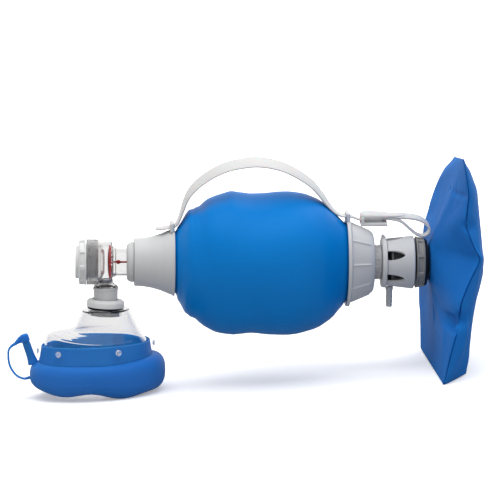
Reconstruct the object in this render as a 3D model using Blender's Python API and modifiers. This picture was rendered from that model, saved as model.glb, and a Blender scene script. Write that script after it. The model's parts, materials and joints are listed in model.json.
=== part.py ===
"""Bag valve mask: a self-inflating resuscitator with a face mask and an oxygen reservoir pouch.

The bag's axis runs along +X, from the patient valve to the reservoir, and the mask hangs down
along -Z. Lengths are written in millimetres and turned into metres by the helpers.
"""
import math

import bmesh
import bpy
from mathutils import Matrix, Vector

MM = 0.001
TINY = 0.00002             # merge distance of turned profiles, metres
GAP = 0.3                  # clearance between neighbours that touch

# Driving dimensions, millimetres
AXIS_Z = 119.0             # height of the bag's axis over the mask's lowest point
SHIFT_X = 4.3              # centres the whole object on X = 0
PORT_R = 14.8              # 30 mm exhalation connector
NECK_R = 15.7              # 32 mm bag inlet connector
PATIENT_R = 11.0           # 22 mm patient connector
PATIENT_X = -131.0         # axis of the patient connector and the mask
MASK_TILT = math.radians(2.5)   # the mask sits this much out of square on its connector
TUBE_R = 12.7              # swivel tube of the patient valve
BAG_WALL = 2.0
SHELL_WALL = 2.0

# Stations along the bag's axis, left to right
PORT_FACE = -158.7
PORT_STEP = -155.5
THREAD_LEFT = -148.4
BARREL_LEFT = -137.6
BARREL_RIGHT = -125.0
SWIVEL_LEFT = -111.9
COLLAR_LEFT = -105.4
COLLAR_RIGHT = -68.6
REAR_LEFT = 86.7
REAR_RIGHT = 111.4
FLANGE_LEFT = 119.6
HOUSING_LEFT = 124.2
HOUSING_RIGHT = 148.9
NUT_LEFT = 150.7
NUT_RIGHT = 158.5
GASKET_RIGHT = 162.2

# Heights of the patient port and the mask
SLEEVE_TOP = 95.9
COLLAR_TOP = 85.0
COLLAR_BOTTOM = 78.0

# Face mask, in plan: ovals about a centre, longer along X
MASK_X = -140.0
SKIRT_A, SKIRT_B = 49.6, 39.6
CUFF_X, CUFF_A, CUFF_B = -138.3, 61.7, 49.0
CUFF_TUBE = 13.5           # half the width of the cuff's tube
EGG = 0.10                 # how much wider the chin end is than the nose end

# Handle strap
STRAP_WIDTH = 20.0
STRAP_THICK = 1.5
STRAP_LEAN = math.radians(20)

# Reservoir pouch, two welded square sheets
POUCH_FRONT = 162.6
POUCH_HALF = 98.0
POUCH_BOTTOM = 22.6
POUCH_TOP = 225.0

SEGS = 24
SMALL_SEGS = 20

for old in list(bpy.data.objects):
    bpy.data.objects.remove(old, do_unlink=True)

parts = bpy.data.collections.new("bag_valve_mask")
guides = bpy.data.collections.new("cutters")
bpy.context.scene.collection.children.link(parts)
bpy.context.scene.collection.children.link(guides)

base = bpy.data.objects.new("bag_axis", None)
base.location = (SHIFT_X * MM, 0, AXIS_Z * MM)
parts.objects.link(base)


def material(name, colour, roughness, metallic=0.0, alpha=1.0):
    mat = bpy.data.materials.new(name)
    mat.use_nodes = True
    shader = mat.node_tree.nodes["Principled BSDF"]
    shader.inputs["Base Color"].default_value = (*colour, 1)
    shader.inputs["Roughness"].default_value = roughness
    shader.inputs["Metallic"].default_value = metallic
    shader.inputs["Alpha"].default_value = alpha
    return mat


BLUE_BAG = material("blue_silicone", (0.004, 0.125, 0.42), 0.35)
BLUE_MASK = material("blue_vinyl", (0.03, 0.13, 0.42), 0.4)
BLUE_POUCH = material("blue_film", (0.02, 0.13, 0.41), 0.45)
GREY = material("grey_plastic", (0.48, 0.50, 0.52), 0.45)
DARK_GREY = material("dark_grey_plastic", (0.22, 0.24, 0.26), 0.5)
BEIGE_GREY = material("beige_grey_plastic", (0.5, 0.49, 0.46), 0.45)
WHITE = material("white_plastic", (0.8, 0.8, 0.8), 0.45)
CLEAR = material("clear_plastic", (0.85, 0.9, 0.93), 0.08, alpha=0.35)
RED = material("red_silicone", (0.55, 0.02, 0.02), 0.35)
BLACK = material("black_rubber", (0.02, 0.02, 0.02), 0.6)
MEMBRANE = material("grey_silicone", (0.1, 0.11, 0.12), 0.5)


def add(name, mesh, mat, group=parts, parent=base):
    """Link a mesh as an object; a cutter gets no material and is hidden."""
    obj = bpy.data.objects.new(name, mesh)
    group.objects.link(obj)
    obj.parent = parent
    if mat:
        mesh.materials.append(mat)
    if group is guides:
        obj.hide_render = True
        obj.display_type = "WIRE"
    return obj


def smooth(obj, degrees=40):
    obj.data.shade_smooth()
    obj.data.set_sharp_from_angle(angle=math.radians(degrees))


def screw(obj, segs):
    """Turn a profile about the object's Z axis."""
    mod = obj.modifiers.new("turn", "SCREW")
    mod.axis = "Z"
    mod.steps = segs
    mod.render_steps = segs
    mod.use_merge_vertices = True
    mod.merge_threshold = TINY
    mod.use_smooth_shade = True


def profile_mesh(name, points, closed):
    mesh = bpy.data.meshes.new(name)
    verts = [(r * MM, 0, z * MM) for z, r in points]
    edges = [(i, i + 1) for i in range(len(verts) - 1)]
    if closed:
        edges.append((len(verts) - 1, 0))
    mesh.from_pydata(verts, edges, [])
    return mesh


def turned(name, points, mat, closed=True, wall=0.0, segs=SEGS, group=parts, along_x=True, at=(0, 0, 0)):
    """A turned piece: points are (place along the axis, radius), outer side first, from the top down."""
    obj = add(name, profile_mesh(name, points, closed), mat, group)
    obj.location = Vector(at) * MM
    if along_x:
        obj.rotation_euler = (0, math.radians(90), 0)
    screw(obj, segs)
    if wall:
        mod = obj.modifiers.new("wall", "SOLIDIFY")
        mod.thickness = wall * MM
        mod.offset = -1
        mod.use_even_offset = True
    return obj


def patient_turned(name, points, mat, segs=SMALL_SEGS, **options):
    """A piece turned about the patient connector's vertical axis; heights are over the floor."""
    place = (PATIENT_X, 0, -AXIS_Z)
    return turned(name, points, mat, segs=segs, along_x=False, at=place, **options)


def ring(low, high, inner, outer, edge=0.5):
    """Profile of a plain ring with broken outer edges."""
    return [(high, inner), (high, outer - edge), (high - edge, outer), (low + edge, outer),
            (low, outer - edge), (low, inner)]


def disc(low, high, radius):
    """Profile of a plain disc."""
    return [(high, 0), (high, radius), (low, radius), (low, 0)]


def box_mesh(name, low, high):
    bm = bmesh.new()
    bmesh.ops.create_cube(bm, size=1)
    size = [(b - a) * MM for a, b in zip(low, high)]
    middle = [(a + b) / 2 * MM for a, b in zip(low, high)]
    bmesh.ops.scale(bm, vec=size, verts=bm.verts)
    bmesh.ops.translate(bm, vec=middle, verts=bm.verts)
    mesh = bpy.data.meshes.new(name)
    bm.to_mesh(mesh)
    bm.free()
    return mesh


def spread(name, radius, along, size, angles, lean=0.0):
    """Boxes set round the bag's axis: size is (along, across, deep), middle at the given radius."""
    bm = bmesh.new()
    for degrees in angles:
        made = bmesh.ops.create_cube(bm, size=1)["verts"]
        turn = Matrix.Rotation(-math.radians(degrees), 4, "X")
        place = Matrix.Translation(Vector((along, -radius, 0)) * MM)
        tilt = Matrix.Rotation(lean, 4, "Z")
        scale = Matrix.Diagonal((size[0] * MM, size[2] * MM, size[1] * MM, 1))
        bmesh.ops.transform(bm, matrix=turn @ place @ tilt @ scale, verts=made)
    mesh = bpy.data.meshes.new(name)
    bm.to_mesh(mesh)
    bm.free()
    return mesh


def rods(name, radius, circle, low, high, count, segs=8):
    """Round rods parallel to the bag's axis, on a circle about it."""
    bm = bmesh.new()
    for i in range(count):
        angle = 2 * math.pi * i / count
        made = bmesh.ops.create_cone(bm, cap_ends=True, segments=segs, radius1=radius * MM,
                                     radius2=radius * MM, depth=(high - low) * MM)["verts"]
        centre = Vector(((low + high) / 2, circle * math.cos(angle), circle * math.sin(angle))) * MM
        matrix = Matrix.Translation(centre) @ Matrix.Rotation(math.radians(90), 4, "Y")
        bmesh.ops.transform(bm, matrix=matrix, verts=made)
    mesh = bpy.data.meshes.new(name)
    bm.to_mesh(mesh)
    bm.free()
    return mesh


def guide(name, mesh):
    return add(name, mesh, None, guides)


def combine(obj, tool, operation):
    mod = obj.modifiers.new(operation.lower(), "BOOLEAN")
    mod.operation = operation
    mod.object = tool
    mod.solver = "EXACT"


def outline(name, points, half, mat, hole=None, group=parts):
    """A flat outline in the XZ plane, extruded half to each side of Y, as a mesh."""
    curve = bpy.data.curves.new(name, "CURVE")
    curve.dimensions = "2D"
    curve.fill_mode = "BOTH"
    curve.extrude = half * MM
    for loop in (points, hole):
        if not loop:
            continue
        spline = curve.splines.new("POLY")
        spline.points.add(len(loop) - 1)
        for point, (x, z) in zip(spline.points, loop):
            point.co = (x * MM, z * MM, 0, 1)
        spline.use_cyclic_u = True
    source = bpy.data.objects.new(name + "_curve", curve)
    bpy.context.scene.collection.objects.link(source)
    evaluated = source.evaluated_get(bpy.context.evaluated_depsgraph_get())
    mesh = bpy.data.meshes.new_from_object(evaluated)
    bpy.data.objects.remove(source, do_unlink=True)
    bm = bmesh.new()
    bm.from_mesh(mesh)
    bmesh.ops.remove_doubles(bm, verts=bm.verts, dist=TINY)
    bmesh.ops.rotate(bm, cent=(0, 0, 0), matrix=Matrix.Rotation(math.radians(90), 3, "X"), verts=bm.verts)
    bmesh.ops.recalc_face_normals(bm, faces=bm.faces)
    bm.to_mesh(mesh)
    bm.free()
    return add(name, mesh, mat, group)


def smooth_path(points, per_span, cyclic=False):
    """A smooth curve through the points (Catmull-Rom), as a longer list of points."""
    pts = [Vector(p) for p in points]
    count = len(pts)
    spans = count if cyclic else count - 1
    out = []
    for i in range(spans):
        p1, p2 = pts[i], pts[(i + 1) % count]
        p0 = pts[(i - 1) % count] if cyclic or i else p1
        p3 = pts[(i + 2) % count] if cyclic or i + 2 < count else p2
        for k in range(per_span):
            t = k / per_span
            out.append(0.5 * ((2 * p1) + (p2 - p0) * t + (2 * p0 - 5 * p1 + 4 * p2 - p3) * t ** 2
                              + (3 * p1 - p0 - 3 * p2 + p3) * t ** 3))
    if not cyclic:
        out.append(pts[-1])
    return out


def loft(name, rings, mat, closed_along=False, capped=True, group=parts):
    """Skin a list of equal rings of points; heights are over the floor."""
    bm = bmesh.new()
    rows = [[bm.verts.new(Vector((x, y, z - AXIS_Z)) * MM) for x, y, z in points] for points in rings]
    spans = len(rows) if closed_along else len(rows) - 1
    for i in range(spans):
        a, b = rows[i], rows[(i + 1) % len(rows)]
        for j in range(len(a)):
            k = (j + 1) % len(a)
            bm.faces.new((a[j], a[k], b[k], b[j]))
    if capped and not closed_along:
        bm.faces.new(rows[0])
        bm.faces.new(rows[-1])
    bmesh.ops.recalc_face_normals(bm, faces=bm.faces)
    mesh = bpy.data.meshes.new(name)
    bm.to_mesh(mesh)
    bm.free()
    return add(name, mesh, mat, group)


# ---------------------------------------------------------------- patient valve

def build_exhalation_port():
    """Outlet cap with the 30 mm connector and eight finger pockets in its rim."""
    rim = 20.8
    port = turned("exhalation_port", [
        (THREAD_LEFT - GAP, 15.6), (THREAD_LEFT - GAP, rim - 0.6), (THREAD_LEFT - 1.0, rim),
        (PORT_STEP + 1.8, rim), (PORT_STEP + 0.2, rim - 1.4), (PORT_STEP, PORT_R),
        (PORT_FACE + 0.6, PORT_R), (PORT_FACE, PORT_R - 0.6), (PORT_FACE, 12.4),
        (-153.4, 12.4), (-153.4, 15.6)], GREY)
    angles = [14.5 + 45 * i for i in range(8)]
    pockets = spread("pockets", 20.3, -152.6, (4.2, 11.0, 4.0), angles)
    combine(port, guide("exhalation_pockets", pockets), "DIFFERENCE")
    smooth(port)


def build_valve_body():
    """Clear housing: barrel, swivel tube to the bag, and the tee for the patient connector."""
    bore = 11.2
    inner = 16.9
    housing = turned("valve_housing", [
        (-100.6, bore), (-100.6, TUBE_R), (-122.1, TUBE_R), (-122.1, 14.3), (BARREL_RIGHT, 14.3),
        (BARREL_RIGHT - 0.1, 17.6), (-126.6, 19.1), (BARREL_LEFT + 0.2, 19.1), (BARREL_LEFT + 0.2, 18.4),
        (-147.9, 18.4), (-147.9, inner), (-126.6, inner), (-126.6, bore)], CLEAR)
    tee = patient_turned("tee", [
        (103.6, 0), (103.6, 5.8), (97.9, 5.9), (97.2, 8.6), (96.4, 11.2), (96.4, 8.6), (87.0, 8.6),
        (87.0, 0)], None, closed=False, group=guides)
    combine(housing, tee, "UNION")
    clear_out = turned("barrel_bore", disc(-145.0, -126.9, inner + 0.05), None, closed=False, group=guides)
    combine(housing, clear_out, "DIFFERENCE")
    tee_bore = patient_turned("tee_bore", [
        (105.0, 0), (105.0, 4.6), (98.2, 4.6), (95.8, 7.2), (86.0, 7.2), (86.0, 0)],
        None, closed=False, group=guides)
    combine(housing, tee_bore, "DIFFERENCE")
    turned("thread_ring", [
        (BARREL_LEFT, 18.8), (BARREL_LEFT, 20.6), (-138.3, 21.2), (-147.4, 21.2),
        (THREAD_LEFT, 20.6), (THREAD_LEFT, 18.8)], CLEAR)
    grille = turned("exhalation_seat", disc(-146.4, -145.0, inner - GAP), CLEAR, closed=False, segs=SMALL_SEGS)
    combine(grille, guide("grille_holes", rods("rods", 3.2, 9.5, -148, -143, 6)), "DIFFERENCE")
    seat = turned("shutter_seat", [
        (-124.0, 1.1), (-124.0, bore - GAP), (-126.3, bore - GAP), (-126.3, 1.1)], CLEAR, segs=SMALL_SEGS)
    combine(seat, guide("seat_holes", rods("rods", 2.5, 6.2, -128, -122, 6)), "DIFFERENCE")


def build_valve_discs():
    """Red shutter with its stem and bulb, and the exhalation flap."""
    turned("shutter_valve", [
        (-111.6, 0), (-111.6, 0.6), (-117.6, 0.6), (-119.2, 1.7), (-121.0, 0.6), (-126.0, 0.6),
        (-126.9, 2.2), (-126.9, 15.8), (-127.8, 15.8), (-129.4, 9.0), (-129.4, 0)],
        RED, closed=False, segs=SMALL_SEGS)
    turned("exhalation_disc", disc(-147.6, -146.8, 13.6), MEMBRANE, closed=False, segs=SMALL_SEGS)


def build_patient_port():
    """22 mm outer and 15 mm inner patient connector, which turns on the housing's tee."""
    patient_turned("patient_connector", [
        (SLEEVE_TOP, 8.95), (SLEEVE_TOP, PATIENT_R + 0.4), (94.0, PATIENT_R + 0.4),
        (93.6, PATIENT_R), (76.6, PATIENT_R - 0.5), (76.6, 7.5), (86.4, 7.5), (86.4, 8.95)], GREY)


# ---------------------------------------------------------------- bag and its collars

def build_front_collar():
    collar = turned("front_collar", [
        (COLLAR_RIGHT, 30.5), (-71.2, 30.3), (-75.4, 28.6), (-81.0, 25.9), (-90.9, 23.1),
        (-98.0, 22.0), (-104.8, 21.7), (COLLAR_LEFT, 21.0), (COLLAR_LEFT, 13.2)],
        GREY, closed=False, wall=SHELL_WALL)
    lug = guide("front_lug", box_mesh("lug", (-73.0, -13, 28.0), (-69.2, 13, 36.6)))
    combine(collar, lug, "UNION")
    slot = guide("front_slot", box_mesh("slot", (-80, -10.6, 30.8), (-60, 10.6, 34.5)))
    combine(collar, slot, "DIFFERENCE")
    smooth(collar)
    turned("swivel_ring", [
        (COLLAR_LEFT - GAP, 13.2), (COLLAR_LEFT - GAP, 18.2), (-110.9, 18.2), (SWIVEL_LEFT, 17.2),
        (SWIVEL_LEFT, 13.2), (-109.8, 13.2), (-109.8, 14.9), (-107.4, 14.9), (-107.4, 13.2)], GREY)
    ring_points = [(-108.6 + 0.7 * math.cos(a), 13.85 + 0.7 * math.sin(a))
                   for a in [math.radians(60 * i) for i in range(6)]]
    turned("swivel_oring", ring_points, BLACK, segs=SMALL_SEGS)
    turned("front_neck_insert", [
        (-84.0, 13.2), (-84.0, 15.6), (-100.2, 15.6), (-100.2, 18.6), (-103.0, 18.6), (-103.0, 13.2)], GREY)


def build_bag():
    """Silicone outer bag and the inner bag inside it, both open at the two necks."""
    outer = [
        (108.2, 24.4), (91.0, 32.6), (87.2, 35.2), (80.0, 41.7), (72.0, 49.6), (63.0, 56.8), (51.0, 62.3),
        (37.0, 64.8), (0.0, 64.4), (-16.0, 64.4), (-31.0, 61.6), (-42.0, 56.8), (-51.0, 49.6),
        (-57.5, 43.4), (-62.5, 36.4), (-66.0, 31.8), (-68.2, 28.0), (-76.4, 25.0), (-90.0, 20.2), (-99.0, 19.4)]
    turned("outer_bag", outer, BLUE_BAG, closed=False, wall=BAG_WALL)
    inner = [
        (84.0, 33.0), (70.0, 47.0), (50.0, 58.5), (30.0, 61.0), (-12.0, 60.8), (-34.0, 56.0),
        (-54.0, 41.0), (-66.0, 27.0)]
    turned("inner_bag", inner, MEMBRANE, closed=False, wall=1.2, segs=SMALL_SEGS)


def build_rear_collar():
    collar = turned("rear_collar", [
        (REAR_RIGHT, 16.2), (REAR_RIGHT, 27.4), (REAR_RIGHT - 0.8, 28.3), (91.2, 36.8),
        (90.4, 39.6), (89.8, 40.3), (REAR_LEFT + 0.5, 40.3), (REAR_LEFT + 0.5, 37.2),
        (90.8, 34.0), (109.4, 26.0), (109.4, 16.2)], GREY)
    slope = -math.atan2(36.8 - 28.3, REAR_RIGHT - 0.8 - 91.2)
    angles = [3 + 36 * i for i in range(10)]
    fins = spread("fins", 32.6, 101.0, (20.0, 1.4, 3.4), angles, lean=-slope)
    combine(collar, guide("rear_fins", fins), "UNION")
    lug = guide("rear_lug", box_mesh("lug", (86.8, -13, 38.0), (90.2, 13, 45.8)))
    combine(collar, lug, "UNION")
    slot = guide("rear_slot", box_mesh("slot", (80, -10.6, 41.0), (100, 10.6, 44.0)))
    combine(collar, slot, "DIFFERENCE")
    smooth(collar)


def build_inlet_neck():
    """32 mm inlet connector with the valve seat at its inner end."""
    neck = turned("inlet_neck", [
        (119.2, 13.0), (119.2, NECK_R), (109.1, NECK_R), (109.1, 21.6), (106.4, 21.6), (106.4, 14.6),
        (103.9, 14.6), (103.9, 0), (105.4, 0), (105.4, 13.0)], DARK_GREY, closed=True)
    combine(neck, guide("neck_holes", rods("rods", 2.7, 7.6, 102, 107, 6)), "DIFFERENCE")
    turned("bag_inlet_disc", disc(102.7, 103.5, 12.0), MEMBRANE, closed=False, segs=SMALL_SEGS)


# ---------------------------------------------------------------- inlet valve and reservoir

def build_inlet_valve():
    turned("inlet_flange", ring(FLANGE_LEFT, HOUSING_LEFT - GAP, 13.4, 23.1, 0.7), GREY)
    housing = turned("inlet_housing", [
        (HOUSING_RIGHT, 20.0), (HOUSING_RIGHT, 23.6), (148.2, 24.2), (136.0, 22.7), (HOUSING_LEFT, 21.4),
        (HOUSING_LEFT, 19.6), (142.0, 21.2), (147.4, 21.2), (147.4, 20.0)], GREY)
    angles = [24 + 60 * i for i in range(6) if i != 4]
    windows = spread("windows", 21.5, 132.0, (14.0, 7.4, 8.0), angles)
    combine(housing, guide("inlet_windows", windows), "DIFFERENCE")
    smooth(housing)
    plate = turned("valve_plate", [
        (144.6, 11.6), (144.6, 20.6), (142.8, 20.6), (142.8, 13.6), (129.6, 12.8), (129.6, 19.2),
        (128.2, 19.2), (128.2, 11.6)], GREY, segs=SMALL_SEGS)
    combine(plate, guide("plate_holes", rods("rods", 1.8, 16.6, 127, 131, 8)), "DIFFERENCE")
    turned("intake_membrane", [
        (127.8, 12.2), (127.8, 18.6), (127.0, 18.6), (127.0, 12.2)], MEMBRANE, segs=SMALL_SEGS)
    turned("relief_membrane", [
        (142.4, 14.2), (142.4, 19.6), (141.6, 19.6), (141.6, 14.2)], MEMBRANE, segs=SMALL_SEGS)
    nipple = [
        (77.9, 1.6), (96.4, 1.6), (96.4, 3.2), (94.6, 3.2), (94.2, 2.8), (88.0, 2.5), (87.9, 3.1),
        (84.0, 2.4), (83.9, 3.1), (80.0, 2.4), (79.9, 3.0), (77.9, 2.3)]
    nipple = [nipple[1]] + nipple[2:] + [nipple[0]]
    turned("oxygen_nipple", nipple, GREY, segs=16, along_x=False, at=(127.4, 0, -AXIS_Z))


def build_reservoir_nut():
    nut = turned("reservoir_nut", [
        (NUT_RIGHT, 12.5), (NUT_RIGHT, 22.0), (NUT_RIGHT - 0.6, 22.6), (NUT_LEFT + 0.5, 23.6),
        (NUT_LEFT, 23.0), (NUT_LEFT, 12.5)], BEIGE_GREY)
    pockets = spread("nut_pockets", 22.9, 154.4, (5.0, 12.6, 3.6), [45 * i for i in range(8)])
    combine(nut, guide("nut_pockets", pockets), "DIFFERENCE")
    smooth(nut)
    turned("reservoir_gasket", [
        (GASKET_RIGHT, 12.5), (GASKET_RIGHT, 20.0), (NUT_RIGHT + 0.5, 21.8), (NUT_RIGHT + 0.5, 12.5)], BLACK)


def pouch_seam(u, v):
    """X of the pouch's mid surface: it wraps forwards at its middle and twists along its height."""
    near = 184.0 + 11.0 * math.exp(-((v - 0.1) / 0.16) ** 2) - 14.0 * max(0.0, -v - 0.1) + 3.0 * v
    far = 171.0 + 20.0 * max(0.0, v) ** 2.2 - 4.0 * max(0.0, -v) * (1 + v)
    edge = near + (far - near) * (u + 1) / 2
    return edge


def build_reservoir_bag():
    """Inflated pouch: a front and a back sheet that meet in a square seam."""
    cells = 12
    height = POUCH_TOP - POUCH_BOTTOM
    middle = (POUCH_TOP + POUCH_BOTTOM) / 2 - AXIS_Z
    bm = bmesh.new()
    bmesh.ops.create_cube(bm, size=2)
    bmesh.ops.subdivide_edges(bm, edges=[e for e in bm.edges if abs(e.verts[0].co.x - e.verts[1].co.x) < 0.5],
                              cuts=cells - 1, use_grid_fill=True)
    for vert in bm.verts:
        side, u, v = vert.co
        bulge = ((1 - u ** 2) * (1 - v ** 2)) ** 0.6
        seam = pouch_seam(u, v)
        pulled = (1 - u ** 2) * (1 - v ** 2) * math.exp(-(u ** 2 + v ** 2) / 0.3)
        front = seam - 0.8 - (seam - POUCH_FRONT - 0.8) * pulled
        back = seam + 0.8 + 27.0 * bulge
        pinch = 1 - 0.03 * (1 - v ** 2)
        x = front if side < 0 else back
        vert.co = (x * MM, u * POUCH_HALF * pinch * MM, (middle + v * height / 2) * MM)
    mesh = bpy.data.meshes.new("reservoir_bag")
    bm.to_mesh(mesh)
    bm.free()
    smooth(add("reservoir_bag", mesh, BLUE_POUCH), 50)


# ---------------------------------------------------------------- face mask

def egg(angle, centre, a, b):
    """A point of a mask outline in plan, narrower at the nose end (-X)."""
    return centre + a * math.cos(angle), b * math.sin(angle) * (1 + EGG * math.cos(angle))


def skirt_top(x, angle):
    return 45.6 + 0.055 * (x - MASK_X) + 0.8 * abs(math.sin(angle))


def skirt_bottom(x, angle):
    return 31.0 + 0.055 * (x - MASK_X) + 3.4 * max(0.0, math.cos(angle)) ** 2


def cuff_bottom(x):
    """Two soft lobes under each side with an arch between them."""
    return 1.4 + 2.0 * math.cos(2 * math.pi * (x + 143.0) / 50.0)


def on_mask(name, points, mat):
    """A piece turned about the mask connector's axis, which leans with the mask."""
    points = [(z - COLLAR_TOP, r) for z, r in points]
    obj = turned(name, points, mat, segs=SMALL_SEGS, along_x=False, at=(PATIENT_X, 0, COLLAR_TOP - AXIS_Z))
    obj.rotation_euler = (0, -MASK_TILT, 0)
    return obj


def build_mask_connector():
    on_mask("mask_collar", [
        (COLLAR_TOP, 11.7), (COLLAR_TOP, 16.4), (84.2, 17.15), (COLLAR_BOTTOM, 17.15),
        (COLLAR_BOTTOM, 12.9), (70.0, 12.9), (70.0, 11.7)], GREY)
    on_mask("collar_gasket", [
        (77.7, 13.3), (77.7, 16.3), (76.2, 16.3), (76.2, 13.3)], BLACK)
    on_mask("collar_nut", [
        (73.7, 13.3), (73.7, 15.4), (70.4, 15.4), (70.4, 13.3)], CLEAR)


def dome_ring(angle, level):
    """One point of the clear dome: levels run from the hole in its top to its rim."""
    c, s = math.cos(angle), math.sin(angle)
    left, right, side = max(0.0, -c) ** 2, max(0.0, c) ** 2, s * s
    shapes = [
        (PATIENT_X + 0.4, 13.4, 13.4, 75.8, 75.8, 75.8),
        (PATIENT_X, 20.8, 20.8, 75.8, 75.8, 75.8),
        (PATIENT_X, 21.7, 21.7, 74.9, 74.9, 74.9),
        (-130.5, 29.8, 28.0, 56.8, 58.7, 57.5),
        (-138.7, 41.3, 34.0, 54.8, 53.0, 51.0),
        (-139.9, 44.6, 36.6, 52.3, 50.4, 48.5),
        (-140.0, 46.9, 37.1, 46.0, 47.5, 45.0)]
    if level < len(shapes):
        centre, a, b, z_left, z_right, z_side = shapes[level]
        x, y = egg(angle, centre, a, b) if level > 3 else (centre + a * c, b * s)
        z = z_left * left + z_right * right + z_side * side
        if level < 3:
            z += (x - PATIENT_X) * math.tan(MASK_TILT)
        return x, y, z
    x, y = egg(angle, -140.0, 46.9, 37.1)
    return x, y, skirt_bottom(x, angle) + 1.2


def build_mask_dome():
    around = 28
    bm = bmesh.new()
    rows = []
    for level in range(8):
        row = [dome_ring(2 * math.pi * i / around, level) for i in range(around)]
        rows.append([bm.verts.new(Vector((x, y, z - AXIS_Z)) * MM) for x, y, z in row])
    for a, b in zip(rows, rows[1:]):
        for j in range(around):
            k = (j + 1) % around
            bm.faces.new((a[j], b[j], b[k], a[k]))
    mesh = bpy.data.meshes.new("mask_dome")
    bm.to_mesh(mesh)
    bm.free()
    dome = add("mask_dome", mesh, CLEAR)
    mod = dome.modifiers.new("wall", "SOLIDIFY")
    mod.thickness = 1.5 * MM
    mod.offset = -1
    smooth(dome)


def build_mask_skirt():
    around = 28
    wall = 1.6
    rings = []
    for i in range(around):
        angle = 2 * math.pi * i / around
        top_x, top_y = egg(angle, MASK_X, SKIRT_A, SKIRT_B)
        low_x, low_y = egg(angle, MASK_X - 0.3, SKIRT_A + 2.6, SKIRT_B + 2.4)
        in_top = egg(angle, MASK_X, SKIRT_A - wall, SKIRT_B - wall)
        in_low = egg(angle, MASK_X - 0.3, SKIRT_A + 2.6 - wall, SKIRT_B + 2.4 - wall)
        high, low = skirt_top(top_x, angle), skirt_bottom(low_x, angle)
        rings.append([(top_x, top_y, high), (*in_top, high), (*in_low, low), (low_x, low_y, low)])
    smooth(loft("mask_skirt", rings, BLUE_MASK, closed_along=True))


def build_mask_cuff():
    around, across = 28, 10
    rings = []
    for i in range(around):
        angle = 2 * math.pi * i / around
        out_x, out_y = egg(angle, CUFF_X, CUFF_A, CUFF_B)
        mid_x, mid_y = egg(angle, CUFF_X, CUFF_A - CUFF_TUBE, CUFF_B - CUFF_TUBE)
        high = skirt_bottom(mid_x, angle) - 0.6
        low = cuff_bottom(mid_x)
        section = []
        for j in range(across):
            turn = 2 * math.pi * j / across
            c, s = math.cos(turn), math.sin(turn)
            reach = math.copysign(abs(c) ** 0.85, c)
            lift = math.copysign(abs(s) ** 0.85, s)
            section.append((mid_x + (out_x - mid_x) * reach, mid_y + (out_y - mid_y) * reach,
                            (high + low) / 2 + (high - low) / 2 * lift))
        rings.append(section)
    smooth(loft("mask_cuff", rings, BLUE_MASK, closed_along=True), 60)


def build_mask_pegs():
    """Six pegs round the skirt, which hold a head harness."""
    for number, degrees in enumerate((180, 130, 67, 0, -67, -130), start=1):
        angle = math.radians(degrees)
        x, y = egg(angle, MASK_X, SKIRT_A + 1.2, SKIRT_B + 1.1)
        ahead = egg(angle + 0.01, MASK_X, SKIRT_A + 1.2, SKIRT_B + 1.1)
        along = Vector((ahead[0] - x, ahead[1] - y, 0)).normalized()
        outward = Vector((along.y, -along.x, 0))
        z = (skirt_top(x, angle) + skirt_bottom(x, angle)) / 2 + 2.0 - AXIS_Z
        mesh = bpy.data.meshes.new("mask_peg")
        bm = bmesh.new()
        bmesh.ops.create_cone(bm, cap_ends=True, segments=14, radius1=2.9 * MM, radius2=2.3 * MM, depth=2.4 * MM)
        bm.to_mesh(mesh)
        bm.free()
        peg = add(f"mask_peg_{number}", mesh, CLEAR)
        peg.rotation_euler = outward.to_track_quat("Z", "Y").to_euler()
        peg.location = (Vector((x, y, z)) + outward * 1.9) * MM


INFLATION_ROOT = (-196.9, 0, 26.6)
INFLATION_LEAN = math.radians(-19)


def on_tube(name, points, mat, segs=16, group=parts):
    """A piece turned about the inflation tube's leaning axis; heights are from the tube's root."""
    obj = turned(name, points, mat, segs=segs, along_x=False, group=group,
                 at=(INFLATION_ROOT[0], 0, INFLATION_ROOT[2] - AXIS_Z))
    obj.rotation_euler = (0, INFLATION_LEAN, 0)
    return obj


def build_inflation():
    """Inflation tube of the cuff, its push-in plug and the tether that keeps the plug."""
    on_tube("inflation_tube", [
        (20.0, 2.6), (20.0, 3.3), (19.6, 3.65), (0.0, 3.65), (0.0, 1.0), (6.0, 2.6)], BLUE_MASK)
    plug = on_tube("inflation_plug", [
        (27.6, 0), (27.6, 3.2), (26.6, 4.1), (20.4, 4.1), (20.4, 2.3), (15.4, 2.1), (14.4, 0)],
        BLUE_MASK)
    wedge = outline("plug_wedge", [
        (-3.0, 26.4), (-3.0, 21.0), (-8.4, 20.8), (-9.1, 22.1)], 1.1, None, group=guides)
    wedge.location = plug.location
    wedge.rotation_euler = plug.rotation_euler
    combine(plug, wedge, "UNION")
    route = [
        (-212.6, 44.0), (-216.6, 41.6), (-219.0, 38.2), (-219.4, 33.5), (-219.1, 28.2), (-217.6, 22.8),
        (-214.8, 17.9), (-211.2, 14.2), (-207.6, 12.4), (-204.4, 11.8), (-201.6, 12.2)]
    curve = bpy.data.curves.new("plug_tether", "CURVE")
    curve.dimensions = "3D"
    curve.bevel_depth = 1.0 * MM
    curve.bevel_resolution = 2
    curve.use_fill_caps = True
    points = smooth_path([(x, 0, z) for x, z in route], 2)
    spline = curve.splines.new("POLY")
    spline.points.add(len(points) - 1)
    for target, place in zip(spline.points, points):
        target.co = (place.x * MM, 0, (place.z - AXIS_Z) * MM, 1)
    tether = bpy.data.objects.new("plug_tether", curve)
    curve.materials.append(BLUE_MASK)
    parts.objects.link(tether)
    tether.parent = base


# ---------------------------------------------------------------- handle strap

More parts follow.
